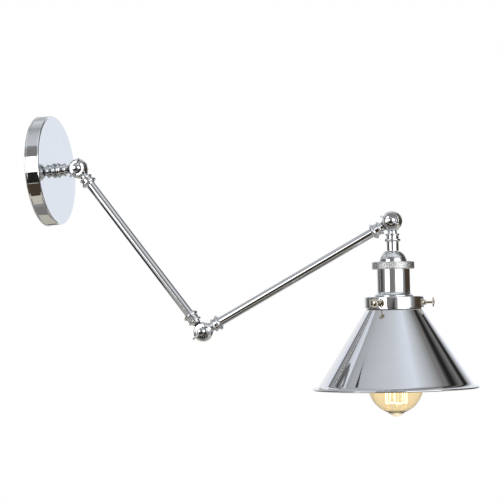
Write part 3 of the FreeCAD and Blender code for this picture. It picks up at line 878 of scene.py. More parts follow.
def united(name: str, meshes: list[bpy.types.Mesh], finish: Finish) -> bpy.types.Mesh:
    """Join closed meshes into one solid.

    Args:
        name: the mesh's name.
        meshes: the solids, which overlap.
        finish: what the solid is made of.

    Returns:
        One closed mesh.
    """
    solids = [put(name, mesh) for mesh in meshes]
    for other in solids[1:]:
        modifier = solids[0].modifiers.new("join", "BOOLEAN")
        modifier.operation = "UNION"
        modifier.solver = "MANIFOLD"
        modifier.object = other
    depsgraph = bpy.context.evaluated_depsgraph_get()
    result = bpy.data.meshes.new_from_object(solids[0].evaluated_get(depsgraph))
    for solid in solids:
        bpy.data.objects.remove(solid)
    result.materials.clear()
    result.materials.append(finish.material)
    for polygon in result.polygons:
        polygon.material_index = 0
    result.name = name
    return result


@dataclass
class Piece:
    """One finished piece of the lamp and what it stands for in the frame."""

    name: str
    mesh: bpy.types.Mesh
    finish: Finish
    body: str
    place: Place
    nodes: tuple[str, ...] = ()
    sharp_degrees: float = SHARP_DEGREES

    def dress(self) -> bpy.types.Object:
        """Lay the piece in its place, ride it on its body and give it its finish.

        Returns:
            The piece's object, at the origin, with its place in its mesh.
        """
        self.mesh.transform(self.place.matrix())
        if not self.mesh.materials:
            self.mesh.materials.append(self.finish.material)
        self.mesh.shade_smooth()
        self.mesh.set_sharp_from_angle(angle=math.radians(self.sharp_degrees))
        obj = put(self.name, self.mesh)
        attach(obj, self.body)
        if self.nodes:
            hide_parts(*self.nodes)
        log.info("%s on %s, %d faces", self.name, self.body, len(self.mesh.polygons))
        return obj


class SubAssembly:
    """A group of pieces that are built and dressed together, most of them on one body in one place."""

    body: str
    place: Place
    kept: dict[str, Finish] = {}

    def turned_piece(
        self, name: str, profile: Profile, finish: Finish, node: str, relief: Optional[Relief] = None,
    ) -> Piece:
        """Make a turned piece on the group's own body, in its place.

        Args:
            name: the piece's name.
            profile: its outline.
            finish: what it is made of.
            node: the frame's node that it stands for.
            relief: what is cut into its widest band, if anything.

        Returns:
            The piece.
        """
        mesh = turned(name, profile, finish, relief)
        return Piece(name, mesh, finish, self.body, self.place, (node,))

    def build(self) -> list[Piece]:
        """Make the group's pieces."""
        raise NotImplementedError

    def dress(self) -> None:
        """Put the pieces in the scene and paint the nodes that stay as they are."""
        for piece in self.build():
            piece.dress()
        for node, finish in self.kept.items():
            mesh = frame["nodes"][node].data
            mesh.materials.clear()
            mesh.materials.append(finish.material)
            log.info("%s kept, in %s", node, finish.value.name)


# The lamp

@dataclass
class WallSide(SubAssembly):
    """The canopy and what holds it to the wall and to the stem."""

    place: Place = Place()
    body: str = "wall_plate"
    radius: float = 62.5
    depth: float = 16.0
    wall: float = 1.2
    edge_round: float = 2.0
    hem_width: float = 2.4
    hem_step: float = 0.6
    nipple_wall: float = 1.5
    nipple_start: float = 3.1
    thread_pitch: float = 1.0
    thread_depth: float = 0.35
    thread_steps_per_turn: int = 8
    thread_segments: int = 48
    washer_start: float = 14.0
    washer_inner: float = 5.05
    washer_root: float = 7.2
    washer_tooth: float = 1.3
    washer_teeth: int = 14
    kept = {"wall_strap": Finish.ZINC, "strap_nut": Finish.ZINC, "canopy_nut": Finish.ZINC}

    def canopy(self) -> Piece:
        """The spun cup with a flat face, a rounded edge and a rolled hem.

        Returns:
            The finished piece.
        """
        band = self.radius - self.hem_step
        corner = self.edge_round * (1 - EIGHTH)
        inner_round = self.edge_round - self.wall
        inner_corner = inner_round * (1 - EIGHTH)
        inside = band - self.wall
        inner_face = self.depth - self.wall
        bore = TUBE_RADIUS + RUNNING_FIT
        hem = self.radius - self.hem_step / 2
        profile = Profile([(0.0, inside)])
        profile.line(0.0, hem).arc((self.hem_width / 2, self.radius), (self.hem_width, hem))
        profile.line(self.hem_width, band).line(self.depth - self.edge_round, band)
        profile.arc((self.depth - corner, band - corner), (self.depth, band - self.edge_round))
        profile.line(self.depth, bore).line(inner_face, bore).line(inner_face, inside - inner_round)
        through = (inner_face - inner_corner, inside - inner_corner)
        profile.arc(through, (inner_face - inner_round, inside))
        return self.turned_piece("canopy_cup", profile.rounded(), Finish.CHROME, "canopy")

    def nipple(self) -> Piece:
        """The hollow threaded tube through the strap and the canopy.

        Returns:
            The finished piece.
        """
        end = self.depth + TUBE_SEAT_DEPTH
        bore = TUBE_RADIUS - self.nipple_wall
        steps = round((end - self.nipple_start) / self.thread_pitch * self.thread_steps_per_turn)
        profile = Profile([(self.nipple_start, bore)]).line(self.nipple_start, TUBE_RADIUS)
        profile.line(end, TUBE_RADIUS, steps).line(end, bore)
        thread = Relief(TUBE_RADIUS, self.thread_depth, 1, self.thread_pitch, self.thread_segments)
        return self.turned_piece("nipple_thread", profile, Finish.ZINC, "stem_nipple", thread)

    def washer(self) -> Piece:
        """The toothed lock washer under the canopy's nut.

        Returns:
            The finished piece.
        """
        face = self.depth - self.wall
        thickness = face - self.washer_start
        ring = Profile.ring(self.washer_start, face, self.washer_inner, self.washer_root)
        disc = turned("washer_ring", ring.rounded(), Finish.ZINC)
        root = self.washer_root - EDGE_BREAK
        tip = self.washer_root + self.washer_tooth
        outline = [
            (self.washer_start, root), (face, root),
            (face - EDGE_BREAK, tip), (self.washer_start + EDGE_BREAK, tip),
        ]
        tooth = extruded("washer_tooth", outline, 2 * thickness, EDGE_BREAK / 2)
        teeth = repeated("washer_teeth", tooth, self.washer_teeth, Finish.ZINC)
        name = "canopy_lock_washer"
        mesh = united(name, [disc, teeth], Finish.ZINC)
        return Piece(name, mesh, Finish.ZINC, self.body, self.place, ("canopy_washer",))

    def build(self) -> list[Piece]:
        """Make the canopy, the nipple and the lock washer."""
        return [self.canopy(), self.nipple(), self.washer()]


@dataclass(frozen=True)
class Bead:
    """One bead turned on a ferrule: the gap before it, its width and how far it stands up."""

    gap: float
    width: float
    rise: float


class Half(Enum):
    """The two halves of a knuckle, with the side of the joint plane that each is on."""

    FIXED = 1
    MOVING = -1


@dataclass
class Knuckle(SubAssembly):
    """A ball knuckle: two half balls with turned ferrules, clamped by a wing screw."""

    name: str
    joint: str
    fixed_along: Vector
    moving_along: Vector
    wing_degrees: float
    fixed_body: str
    moving_body: str
    wing_body: str
    ball_radius: float = 11.1
    flat_height: float = 7.4
    rim_gap: float = 0.3
    rim_round: float = 0.5
    recess_radius: float = 4.3
    recess_depth: float = 0.45
    tapped_depth: float = 7.5
    cut_inset: float = 0.02
    neck_clearance: float = 0.35
    neck_radius: float = 4.9
    root_radius: float = 8.2
    root_reach: float = 7.4
    groove_radius: float = 6.7
    fixed_neck: float = 2.15
    fixed_beads: tuple[Bead, ...] = (
        Bead(gap=0.0, width=3.0, rise=1.1),
        Bead(gap=4.0, width=4.0, rise=2.0),
        Bead(gap=0.2, width=0.4, rise=0.15),
    )
    moving_neck: float = 2.05
    moving_beads: tuple[Bead, ...] = (
        Bead(gap=0.0, width=2.6, rise=1.1),
        Bead(gap=2.9, width=3.4, rise=2.1),
        Bead(gap=0.3, width=0.6, rise=0.25),
    )
    washer_radius: float = 6.2
    washer_thickness: float = 1.0
    washer_edge: float = 0.35
    washer_crest_radius: float = 3.4
    screw_radius: float = 2.5
    screw_clearance: float = 0.25
    thread_length: float = 6.9
    hub_radius: float = 4.6
    hub_top_radius: float = 3.9
    hub_height: float = 4.4
    hub_crown: float = 0.9
    hub_round: float = 0.8
    wing_count: int = 2
    wing_root: float = 1.0
    wing_reach: float = 12.0
    wing_foot_reach: float = 6.6
    wing_lobe_reach: float = 8.6
    wing_notch_reach: float = 5.8
    wing_thickness: float = 1.7
    wing_edge: float = 0.5
    foot_lift: float = 1.0
    lobe_height: float = 7.6
    lobe_lean: float = 0.6
    notch_drop: float = 0.2
    web_drop: float = 0.6

    @property
    def neck_start(self) -> float:
        """Where the necks start, outside the ball."""
        return self.ball_radius + self.neck_clearance

    @property
    def kept(self) -> dict[str, Finish]:
        """The fibre washer inside the ball stays as it is."""
        return {self.name + "_friction_washer": Finish.FIBRE}

    def cup_profile(self, half: Half) -> Profile:
        """The outline of a half ball along the joint's axis, from the joint plane outwards.

        Args:
            half: which half.

        Returns:
            The outline: a whole dome on the fixed half, a dome with a flat seat on the moving one.
        """
        ball = self.ball_radius
        rim = self.rim_gap / 2
        if half is Half.FIXED:
            hole = self.screw_radius + RUNNING_FIT
            profile = Profile.rod(self.tapped_depth, hole).line(self.recess_depth, hole)
        else:
            hole = self.screw_radius + self.screw_clearance
            profile = Profile([(self.recess_depth, hole)])
        profile.line(self.recess_depth, self.recess_radius).line(rim, self.recess_radius)
        profile.line(rim, math.sqrt(ball**2 - rim**2))
        if half is Half.FIXED:
            profile.arc((ball * EIGHTH, ball * EIGHTH), (ball, 0.0))
        else:
            flat = self.flat_height
            through = (flat / 2, math.sqrt(ball**2 - flat**2 / 4))
            profile.arc(through, (flat, math.sqrt(ball**2 - flat**2))).line(flat, hole)
        return profile.rounded(self.rim_round)

    def neck_profile(self, half: Half) -> Profile:
        """The outline of a half's neck and ferrule.

        Args:
            half: which half.

        Returns:
            The outline, from inside the ball to the floor of the tube's seat.
        """
        if half is Half.FIXED:
            neck, beads = self.fixed_neck, self.fixed_beads
            profile = Profile.rod(self.ball_radius / 2, self.neck_radius)
        else:
            neck, beads = self.moving_neck, self.moving_beads
            profile = Profile.rod(self.root_reach, self.root_radius)
        profile.line(self.neck_start, self.neck_radius)
        here = self.neck_start + neck
        profile.line(here, self.neck_radius).line(here, self.groove_radius)
        for bead in beads:
            start = here + bead.gap
            here = start + bead.width
            if bead.gap:
                profile.line(start, self.groove_radius)
            profile.arc(((start + here) / 2, self.groove_radius + bead.rise), (here, self.groove_radius))
        bore = TUBE_RADIUS + RUNNING_FIT
        seat = here - TUBE_SEAT_DEPTH
        return profile.line(here, bore).line(seat, bore).line(seat, 0.0)

    def half(self, half: Half) -> bpy.types.Mesh:
        """One half of the knuckle: a half ball and the neck that grows out of it.

        Args:
            half: which half.

        Returns:
            A closed mesh along its own neck.
        """
        name = self.name + "_" + half.name.lower()
        cup = turned(name + "_cup", self.cup_profile(half), Finish.CHROME)
        outward = Vector((0.0, float(half.value), 0.0))
        cup.transform(Place(along=outward, side=Vector((0.0, 0.0, 1.0))).matrix())
        neck = turned(name + "_neck", self.neck_profile(half), Finish.CHROME)
        work = bmesh.new()
        work.from_mesh(neck)
        split = self.neck_start * MM
        if half is Half.MOVING:
            self.cut_neck(work, split, (self.cut_inset - self.flat_height) * MM, -half.value)
        self.cut_neck(work, split, half.value * (self.rim_gap / 2 + self.cut_inset) * MM, half.value)
        bmesh.ops.recalc_face_normals(work, faces=work.faces)
        work.to_mesh(neck)
        work.free()
        return united(name, [cup, neck], Finish.CHROME)

    @staticmethod
    def cut_neck(work: bmesh.types.BMesh, split: float, level: float, keep: int) -> None:
        """Cut a neck, but not its ferrule, by a plane across Y, and close the cut.

        Args:
            work: the mesh to cut, in metres.
            split: where the ferrule starts along X.
            level: the plane's place along Y.
            keep: 1 to keep what is above the plane, -1 to keep what is below it.
        """
        root = [face for face in work.faces if face.calc_center_median().x < split]
        edges = {edge for face in root for edge in face.edges}
        verts = {vert for face in root for vert in face.verts}
        bmesh.ops.bisect_plane(
            work, geom=list(verts) + list(edges) + root, dist=MERGE_DISTANCE,
            plane_co=(0.0, level, 0.0), plane_no=(0.0, 1.0, 0.0),
        )
        lost = []
        for face in work.faces:
            middle = face.calc_center_median()
            if middle.x < split and (middle.y - level) * keep < 0:
                lost.append(face)
        bmesh.ops.delete(work, geom=lost, context="FACES")
        rim = [edge for edge in work.edges if edge.is_boundary]
        on_plane = [e for e in rim if all(abs(v.co.y - level) < CUT_MARGIN for v in e.verts)]
        on_neck = [e for e in rim if e not in on_plane]
        if on_neck:
            uses = Counter(vert for edge in on_neck for vert in edge.verts)
            bridge = work.edges.new([vert for vert, count in uses.items() if count == 1])
            bmesh.ops.edgeloop_fill(work, edges=on_neck + [bridge])
            on_plane.append(bridge)
        bmesh.ops.edgeloop_fill(work, edges=on_plane)

    def washer(self) -> bpy.types.Mesh:
        """The coned washer under the wing screw, along the joint's axis.

        Returns:
            A closed mesh in metres along its own X axis.
        """
        start = self.flat_height
        end = start + self.washer_thickness
        bore = self.screw_radius + self.screw_clearance
        ring = Profile([(start, bore)]).line(start, self.washer_radius)
        ring.line(start + self.washer_edge, self.washer_radius)
        ring.line(end, self.washer_crest_radius).line(end, bore)
        return turned(self.name + "_washer", ring.rounded(), Finish.CHROME)

    def wing_screw(self) -> bpy.types.Mesh:
        """The wing screw along the joint's axis, with the joint plane at 0 and its wings up and down.

        Returns:
            A closed mesh in metres along its own X axis.
        """
        seat = self.flat_height + self.washer_thickness + FACE_GAP
        shoulder = seat + self.hub_height
        post = Profile.rod(-self.thread_length, self.screw_radius)
        post.line(seat, self.screw_radius).line(seat, self.hub_radius).line(shoulder, self.hub_top_radius)
        post.crown(self.hub_crown)
        hub = turned(self.name + "_hub", post.rounded(self.hub_round), Finish.CHROME)
        foot = seat + self.foot_lift
        lobe_top = seat + self.lobe_height
        middle = (foot + lobe_top) / 2
        wing = Profile([(foot, self.wing_root)]).line(foot, self.wing_foot_reach)
        wing.arc((middle - self.lobe_lean, self.wing_reach), (lobe_top, self.wing_lobe_reach))
        root = (shoulder - self.web_drop, self.wing_root)
        wing.arc((shoulder - self.notch_drop, self.wing_notch_reach), root)
        plate = extruded(self.name + "_wing", wing.points, self.wing_thickness, self.wing_edge)
        wings = repeated(self.name + "_wings", plate, self.wing_count, Finish.CHROME)
        return united(self.name + "_wing_screw_form", [hub, wings], Finish.CHROME)

    def build(self) -> list[Piece]:
        """Make the halves, the washer and the wing screw.

        Returns:
            The pieces, in the order that they are dressed in.
        """
        centre = hinge_centre(self.joint)
        outward = Vector((0.0, -1.0, 0.0))
        fixed = Place(centre, self.fixed_along)
        moving = Place(centre, self.moving_along)
        flat = Place(centre, outward, self.moving_along.cross(outward))
        screw = Place(centre, outward, direction_at(self.wing_degrees).cross(outward))
        rows = (
            ("_far_cup", self.half(Half.FIXED), self.fixed_body, fixed, "_fixed_half"),
            ("_near_cup", self.half(Half.MOVING), self.moving_body, moving, "_moving_half"),
            ("_washer", self.washer(), self.moving_body, flat, "_wing_washer"),
            ("_wings", self.wing_screw(), self.wing_body, screw, "_wing_screw"),
        )
        return [
            Piece(self.name + ending, mesh, Finish.CHROME, body, place, (self.name + node,))
            for ending, mesh, body, place, node in rows
        ]


@dataclass
class Arm(SubAssembly):
    """A straight tube between the seats of two knuckles."""

    name: str
    body: str
    start_joint: str
    end_joint: str
    start_mouth: float = 23.3
    end_mouth: float = 25.2

    @property
    def span(self) -> Vector:
        """The way from the first knuckle to the second."""
        return hinge_centre(self.end_joint) - hinge_centre(self.start_joint)

    @property
    def place(self) -> Place:
        """At the first knuckle, towards the second."""
        return Place(hinge_centre(self.start_joint), self.span.normalized())

    def build(self) -> list[Piece]:
        """Make the tube.

        Returns:
            The one piece.
        """
        start = self.start_mouth - TUBE_SEAT_DEPTH
        end = self.span.length - self.end_mouth + TUBE_SEAT_DEPTH
        tube = Profile.ring(start, end, TUBE_RADIUS - TUBE_WALL, TUBE_RADIUS).rounded()
        return [self.turned_piece(self.name + "_rod", tube, Finish.CHROME, self.name + "_tube")]


@dataclass
class LampHolder(SubAssembly):
    """The stem, dome, knurled ring and shell that hold the socket. Levels run down from the head knuckle."""

    place: Place
    body: str = "head"
    mouth: float = 23.3
    stem_radius: float = 6.5
    dome_top: float = 32.3
    dome_shoulder_radius: float = 7.6
    dome_shoulder_inset: float = 0.3
    dome_waist: Point = (37.3, 12.9)
    dome_radius: float = 15.0
    dome_wall: float = 1.4
    stem_tail: float = 3.9
    ring_top: float = 44.1
    ring_radius: float = 22.9
    ring_height: float = 8.1
    ring_flange: float = 1.6
    ring_hole: float = 12.6
    ring_edge: float = 1.2
    knurl_ridges: int = 108
    knurl_depth: float = 0.2
    knurl_pitch: float = 1.35
    knurl_rows: int = 36
    knurl_samples: int = 8
    knurl_sharp_degrees: float = 60.0
    shell_radius: float = 18.1
    shell_wall: float = 1.0
    shell_bottom: float = 76.4
    flare_radius: float = 21.1
    flare_bottom: float = 81.7
    flare_hollow: float = 0.35
    kept = {
        "cap_nut": Finish.ZINC, "socket_insulator": Finish.PORCELAIN, "terminal_screws": Finish.BRASS,
        "screw_shell": Finish.BRASS, "centre_contact": Finish.BRASS,
    }

    def stem(self) -> Piece:
        """The hollow turned stem: a spigot above, a thicker middle and a spigot below.

        Returns:
            The finished piece.
        """
        start = self.mouth - TUBE_SEAT_DEPTH
        end = self.dome_top + self.dome_wall + self.stem_tail
        bore = TUBE_RADIUS - TUBE_WALL
        profile = Profile([(start, bore)]).line(start, TUBE_RADIUS).line(self.mouth, TUBE_RADIUS)
        profile.line(self.mouth, self.stem_radius).line(self.dome_top, self.stem_radius)
        profile.line(self.dome_top, TUBE_RADIUS).line(end, TUBE_RADIUS).line(end, bore)
        return self.turned_piece("holder_stem", profile.rounded(), Finish.CHROME, "head_stem")

    def dome(self) -> Piece:
        """The thin bell over the socket, with a collar that enters the knurled ring.

        Returns:
            The finished piece.
        """
        bore = TUBE_RADIUS + RUNNING_FIT
        waist, waist_radius = self.dome_waist
        under_top = self.dome_top + self.dome_wall
        collar = self.ring_hole - RUNNING_FIT
        collar_end = self.ring_top + self.ring_flange
        inner = collar - self.dome_wall
        profile = Profile([(self.dome_top, bore)]).line(self.dome_top, self.dome_shoulder_radius)
        profile.arc((waist, waist_radius), (self.ring_top, self.dome_radius))
        profile.line(self.ring_top, collar).line(collar_end, collar)
        profile.line(collar_end, inner).line(self.ring_top, inner)
        under_shoulder = (under_top, self.dome_shoulder_radius + self.dome_shoulder_inset)
        profile.arc((waist, waist_radius - self.dome_wall), under_shoulder).line(under_top, bore)
        return self.turned_piece("holder_dome", profile.rounded(), Finish.CHROME, "dome_cap")

    def ring(self) -> Piece:
        """The screw ring with a diamond knurl between its rounded edges.

        Returns:
            The finished piece.
        """
        corner = self.ring_edge * (1 - EIGHTH)
        bottom = self.ring_top + self.ring_height
        flange = self.ring_top + self.ring_flange
        bore = self.shell_radius + RUNNING_FIT
        band = self.ring_radius
        profile = Profile([(self.ring_top, self.ring_hole)]).line(self.ring_top, band - self.ring_edge)
        profile.arc((self.ring_top + corner, band - corner), (self.ring_top + self.ring_edge, band))
        profile.line(bottom - self.ring_edge, band, self.knurl_rows)
        profile.arc((bottom - corner, band - corner), (bottom, band - self.ring_edge))
        profile.line(bottom, bore).line(flange, bore).line(flange, self.ring_hole)
        segments = self.knurl_ridges * self.knurl_samples
        knurl = Relief(
            band, self.knurl_depth, self.knurl_ridges, self.knurl_pitch, segments, crossed=True,
        )
        piece = self.turned_piece("holder_ring", profile, Finish.KNURLED_CHROME, "knurled_ring", knurl)
        piece.sharp_degrees = self.knurl_sharp_degrees
        return piece

    def shell(self) -> Piece:
        """The drawn tube that flares at its lower end.

        Returns:
            The finished piece.
        """
        top = self.ring_top + self.ring_flange
        bore = self.shell_radius - self.shell_wall
        lip = self.flare_bottom - self.shell_wall
        middle = (self.shell_bottom + lip) / 2 + self.flare_hollow
        middle_radius = (self.shell_radius + self.flare_radius) / 2 - self.flare_hollow
        profile = Profile([(top, bore)]).line(top, self.shell_radius)
        profile.line(self.shell_bottom, self.shell_radius)
        profile.arc((middle, middle_radius), (lip, self.flare_radius))
        profile.line(self.flare_bottom, self.flare_radius).line(self.flare_bottom, bore)
        return self.turned_piece("holder_shell", profile.rounded(), Finish.CHROME, "socket_shell")

    def build(self) -> list[Piece]:
        """Make the stem, the dome, the ring and the shell."""
        return [self.stem(), self.dome(), self.ring(), self.shell()]


@dataclass
class ShadeGallery(SubAssembly):
    """The cup under the shell, its three bushes and thumb screws, its nut and the cone shade."""

    place: Place
    body: str = "head"
    radius: float = 32.4
    wall: float = 1.2
    top: float = 81.7
    bottom: float = 93.8
    edge_round: float = 1.6
    hole: float = 16.85
    nut_radius: float = 23.0
    nut_height: float = 4.2
    nut_ridges: int = 60
    nut_samples: int = 8
    nut_ridge_depth: float = 0.4
    boss_radius: float = 2.9
    boss_height: float = 2.0
    boss_sink: float = 0.5
    boss_edge: float = 0.4
    screw_level: float = 88.6
    screw_count: int = 3
    shank_radius: float = 1.35
    head_radius: float = 5.1
    head_thickness: float = 1.6
    head_edge: float = 0.4
    head_crown: float = 0.9
    crown_radius: float = 3.5
    head_reach: float = 9.0
    coin_ridges: int = 40
    coin_samples: int = 6
    coin_depth: float = 0.25
    sheet: float = 0.9
    collar_radius: float = 30.0
    collar_top: float = 83.6
    collar_bead: float = 0.5
    cone_top: float = 94.9
    cone_bottom: float = 176.2
    cone_radius: float = 82.9
    cone_rows: int = 24
    lip_width: float = 7.5
    lip_height: float = 4.2
    lip_bow: float = 1.05
    bead_radius: float = 1.05
    bead_drop: float = 0.1

    def cup(self) -> Piece:
        """The shallow gallery cup.

        Returns:
            The finished piece.
        """
        corner = self.edge_round * (1 - EIGHTH)
        inside = self.radius - self.wall
        under = self.top + self.wall
        profile = Profile([(self.top, self.hole)]).line(self.top, self.radius - self.edge_round)
        profile.arc((self.top + corner, self.radius - corner), (self.top + self.edge_round, self.radius))
        profile.line(self.bottom, self.radius).line(self.bottom, inside)
        profile.line(under, inside).line(under, self.hole)
        return self.turned_piece("gallery_cup", profile.rounded(), Finish.CHROME, "gallery")

    def nut(self) -> Piece:
        """The ring that clamps the gallery under the shell, with a coin edge for the fingers.

        Returns:
            The finished piece.
        """
        start = self.top + self.wall
        ring = Profile.ring(start, start + self.nut_height, self.hole, self.nut_radius)
        segments = self.nut_ridges * self.nut_samples
        edge = Relief(self.nut_radius, self.nut_ridge_depth, self.nut_ridges, UPRIGHT, segments)
        return self.turned_piece("gallery_clamp_ring", ring, Finish.ZINC, "gallery_nut", edge)

    def bush(self) -> bpy.types.Mesh:
        """One riveted bush, standing out of the cup along its own axis.

        Returns:
            A closed mesh in metres along its own X axis.
        """
        start = self.radius - self.boss_sink
        end = self.radius + self.boss_height
        ring = Profile.ring(start, end, self.shank_radius + RUNNING_FIT, self.boss_radius)
        return turned("gallery_bush", ring.rounded(self.boss_edge), Finish.NICKEL)

    def thumb_screw(self) -> bpy.types.Mesh:
        """A thin screw with a coin-edged disc head and a low crown.

        Returns:
            A closed mesh in metres along its own X axis.
        """
        head = self.radius + self.head_reach
        face = head + self.head_thickness
        edge = self.head_edge
        profile = Profile.rod(self.collar_radius + FACE_GAP, self.shank_radius).line(head, self.shank_radius)
        profile.line(head, self.head_radius - edge).line(head + edge, self.head_radius)
        profile.line(face - edge, self.head_radius).line(face, self.head_radius - edge)
        profile.line(face, self.crown_radius).crown(self.head_crown)
        segments = self.coin_ridges * self.coin_samples
        coin = Relief(
            self.head_radius, self.coin_depth, self.coin_ridges, UPRIGHT, segments, roundness=1.0,
        )
        return turned("thumb_screw_form", profile, Finish.NICKEL, coin)

    def cone(self) -> Piece:
        """The spun cone with a beaded collar and a lip that turns outward into a rolled bead.

        Returns:
            The finished piece.
        """
        slope = math.atan2(self.cone_radius - self.collar_radius, self.cone_bottom - self.cone_top)
        shift_along = self.sheet * math.sin(slope)
        shift_in = self.sheet * math.cos(slope)
        inside = self.collar_radius - self.sheet
        knee = self.sheet * math.tan(slope / 2)
        profile = Profile([(self.collar_top, inside)]).line(self.collar_top, self.collar_radius)
        bead = (self.collar_top + self.sheet, self.collar_radius + self.collar_bead)
        profile.arc(bead, (self.collar_top + 2 * self.sheet, self.collar_radius))
        profile.line(self.cone_top, self.collar_radius)
        profile.line(self.cone_bottom, self.cone_radius, self.cone_rows)
        chord = math.hypot(self.lip_height, self.lip_width)
        lip = (self.cone_bottom + self.lip_height, self.cone_radius + self.lip_width)
        lip_middle = (
            self.cone_bottom + self.lip_height / 2 + self.lip_bow * self.lip_width / chord,
            self.cone_radius + self.lip_width / 2 - self.lip_bow * self.lip_height / chord,
        )
        under_middle = (lip_middle[0] + shift_along, lip_middle[1] - shift_in)
        half = self.sheet / 2
        roll = lip[0] + self.bead_drop
        root = lip[1] - self.bead_radius - math.sqrt(self.bead_radius**2 - half**2)
        profile.arc(lip_middle, (roll - half, root)).arc((roll, lip[1]), (roll + half, root))
        profile.arc(under_middle, (self.cone_bottom + shift_along, self.cone_radius - shift_in))
        profile.line(self.cone_top + knee, inside, self.cone_rows)
        return self.turned_piece("shade_cone", profile.rounded(), Finish.SPUN_CHROME, "shade")

    def build(self) -> list[Piece]:
        """Make the cup, its nut, its bushes, the thumb screws and the shade.

        Returns:
            The pieces, in the order that they are dressed in.
        """
        pieces = [self.cup(), self.nut(), self.cone()]
        level = self.place.centre + self.place.along * self.screw_level
        for number in range(1, self.screw_count + 1):
            node = "thumb_screw_%d" % number
            radial = Place(level, joint_axis(node + "_turn"), self.place.along)
            pieces.append(Piece(
                "thumb_screw_form_%d" % number, self.thumb_screw(), Finish.NICKEL,
                "thumb_%d" % number, radial, (node,),
            ))
            pieces.append(Piece("gallery_bush_%d" % number, self.bush(), Finish.NICKEL, self.body, radial))
        return pieces


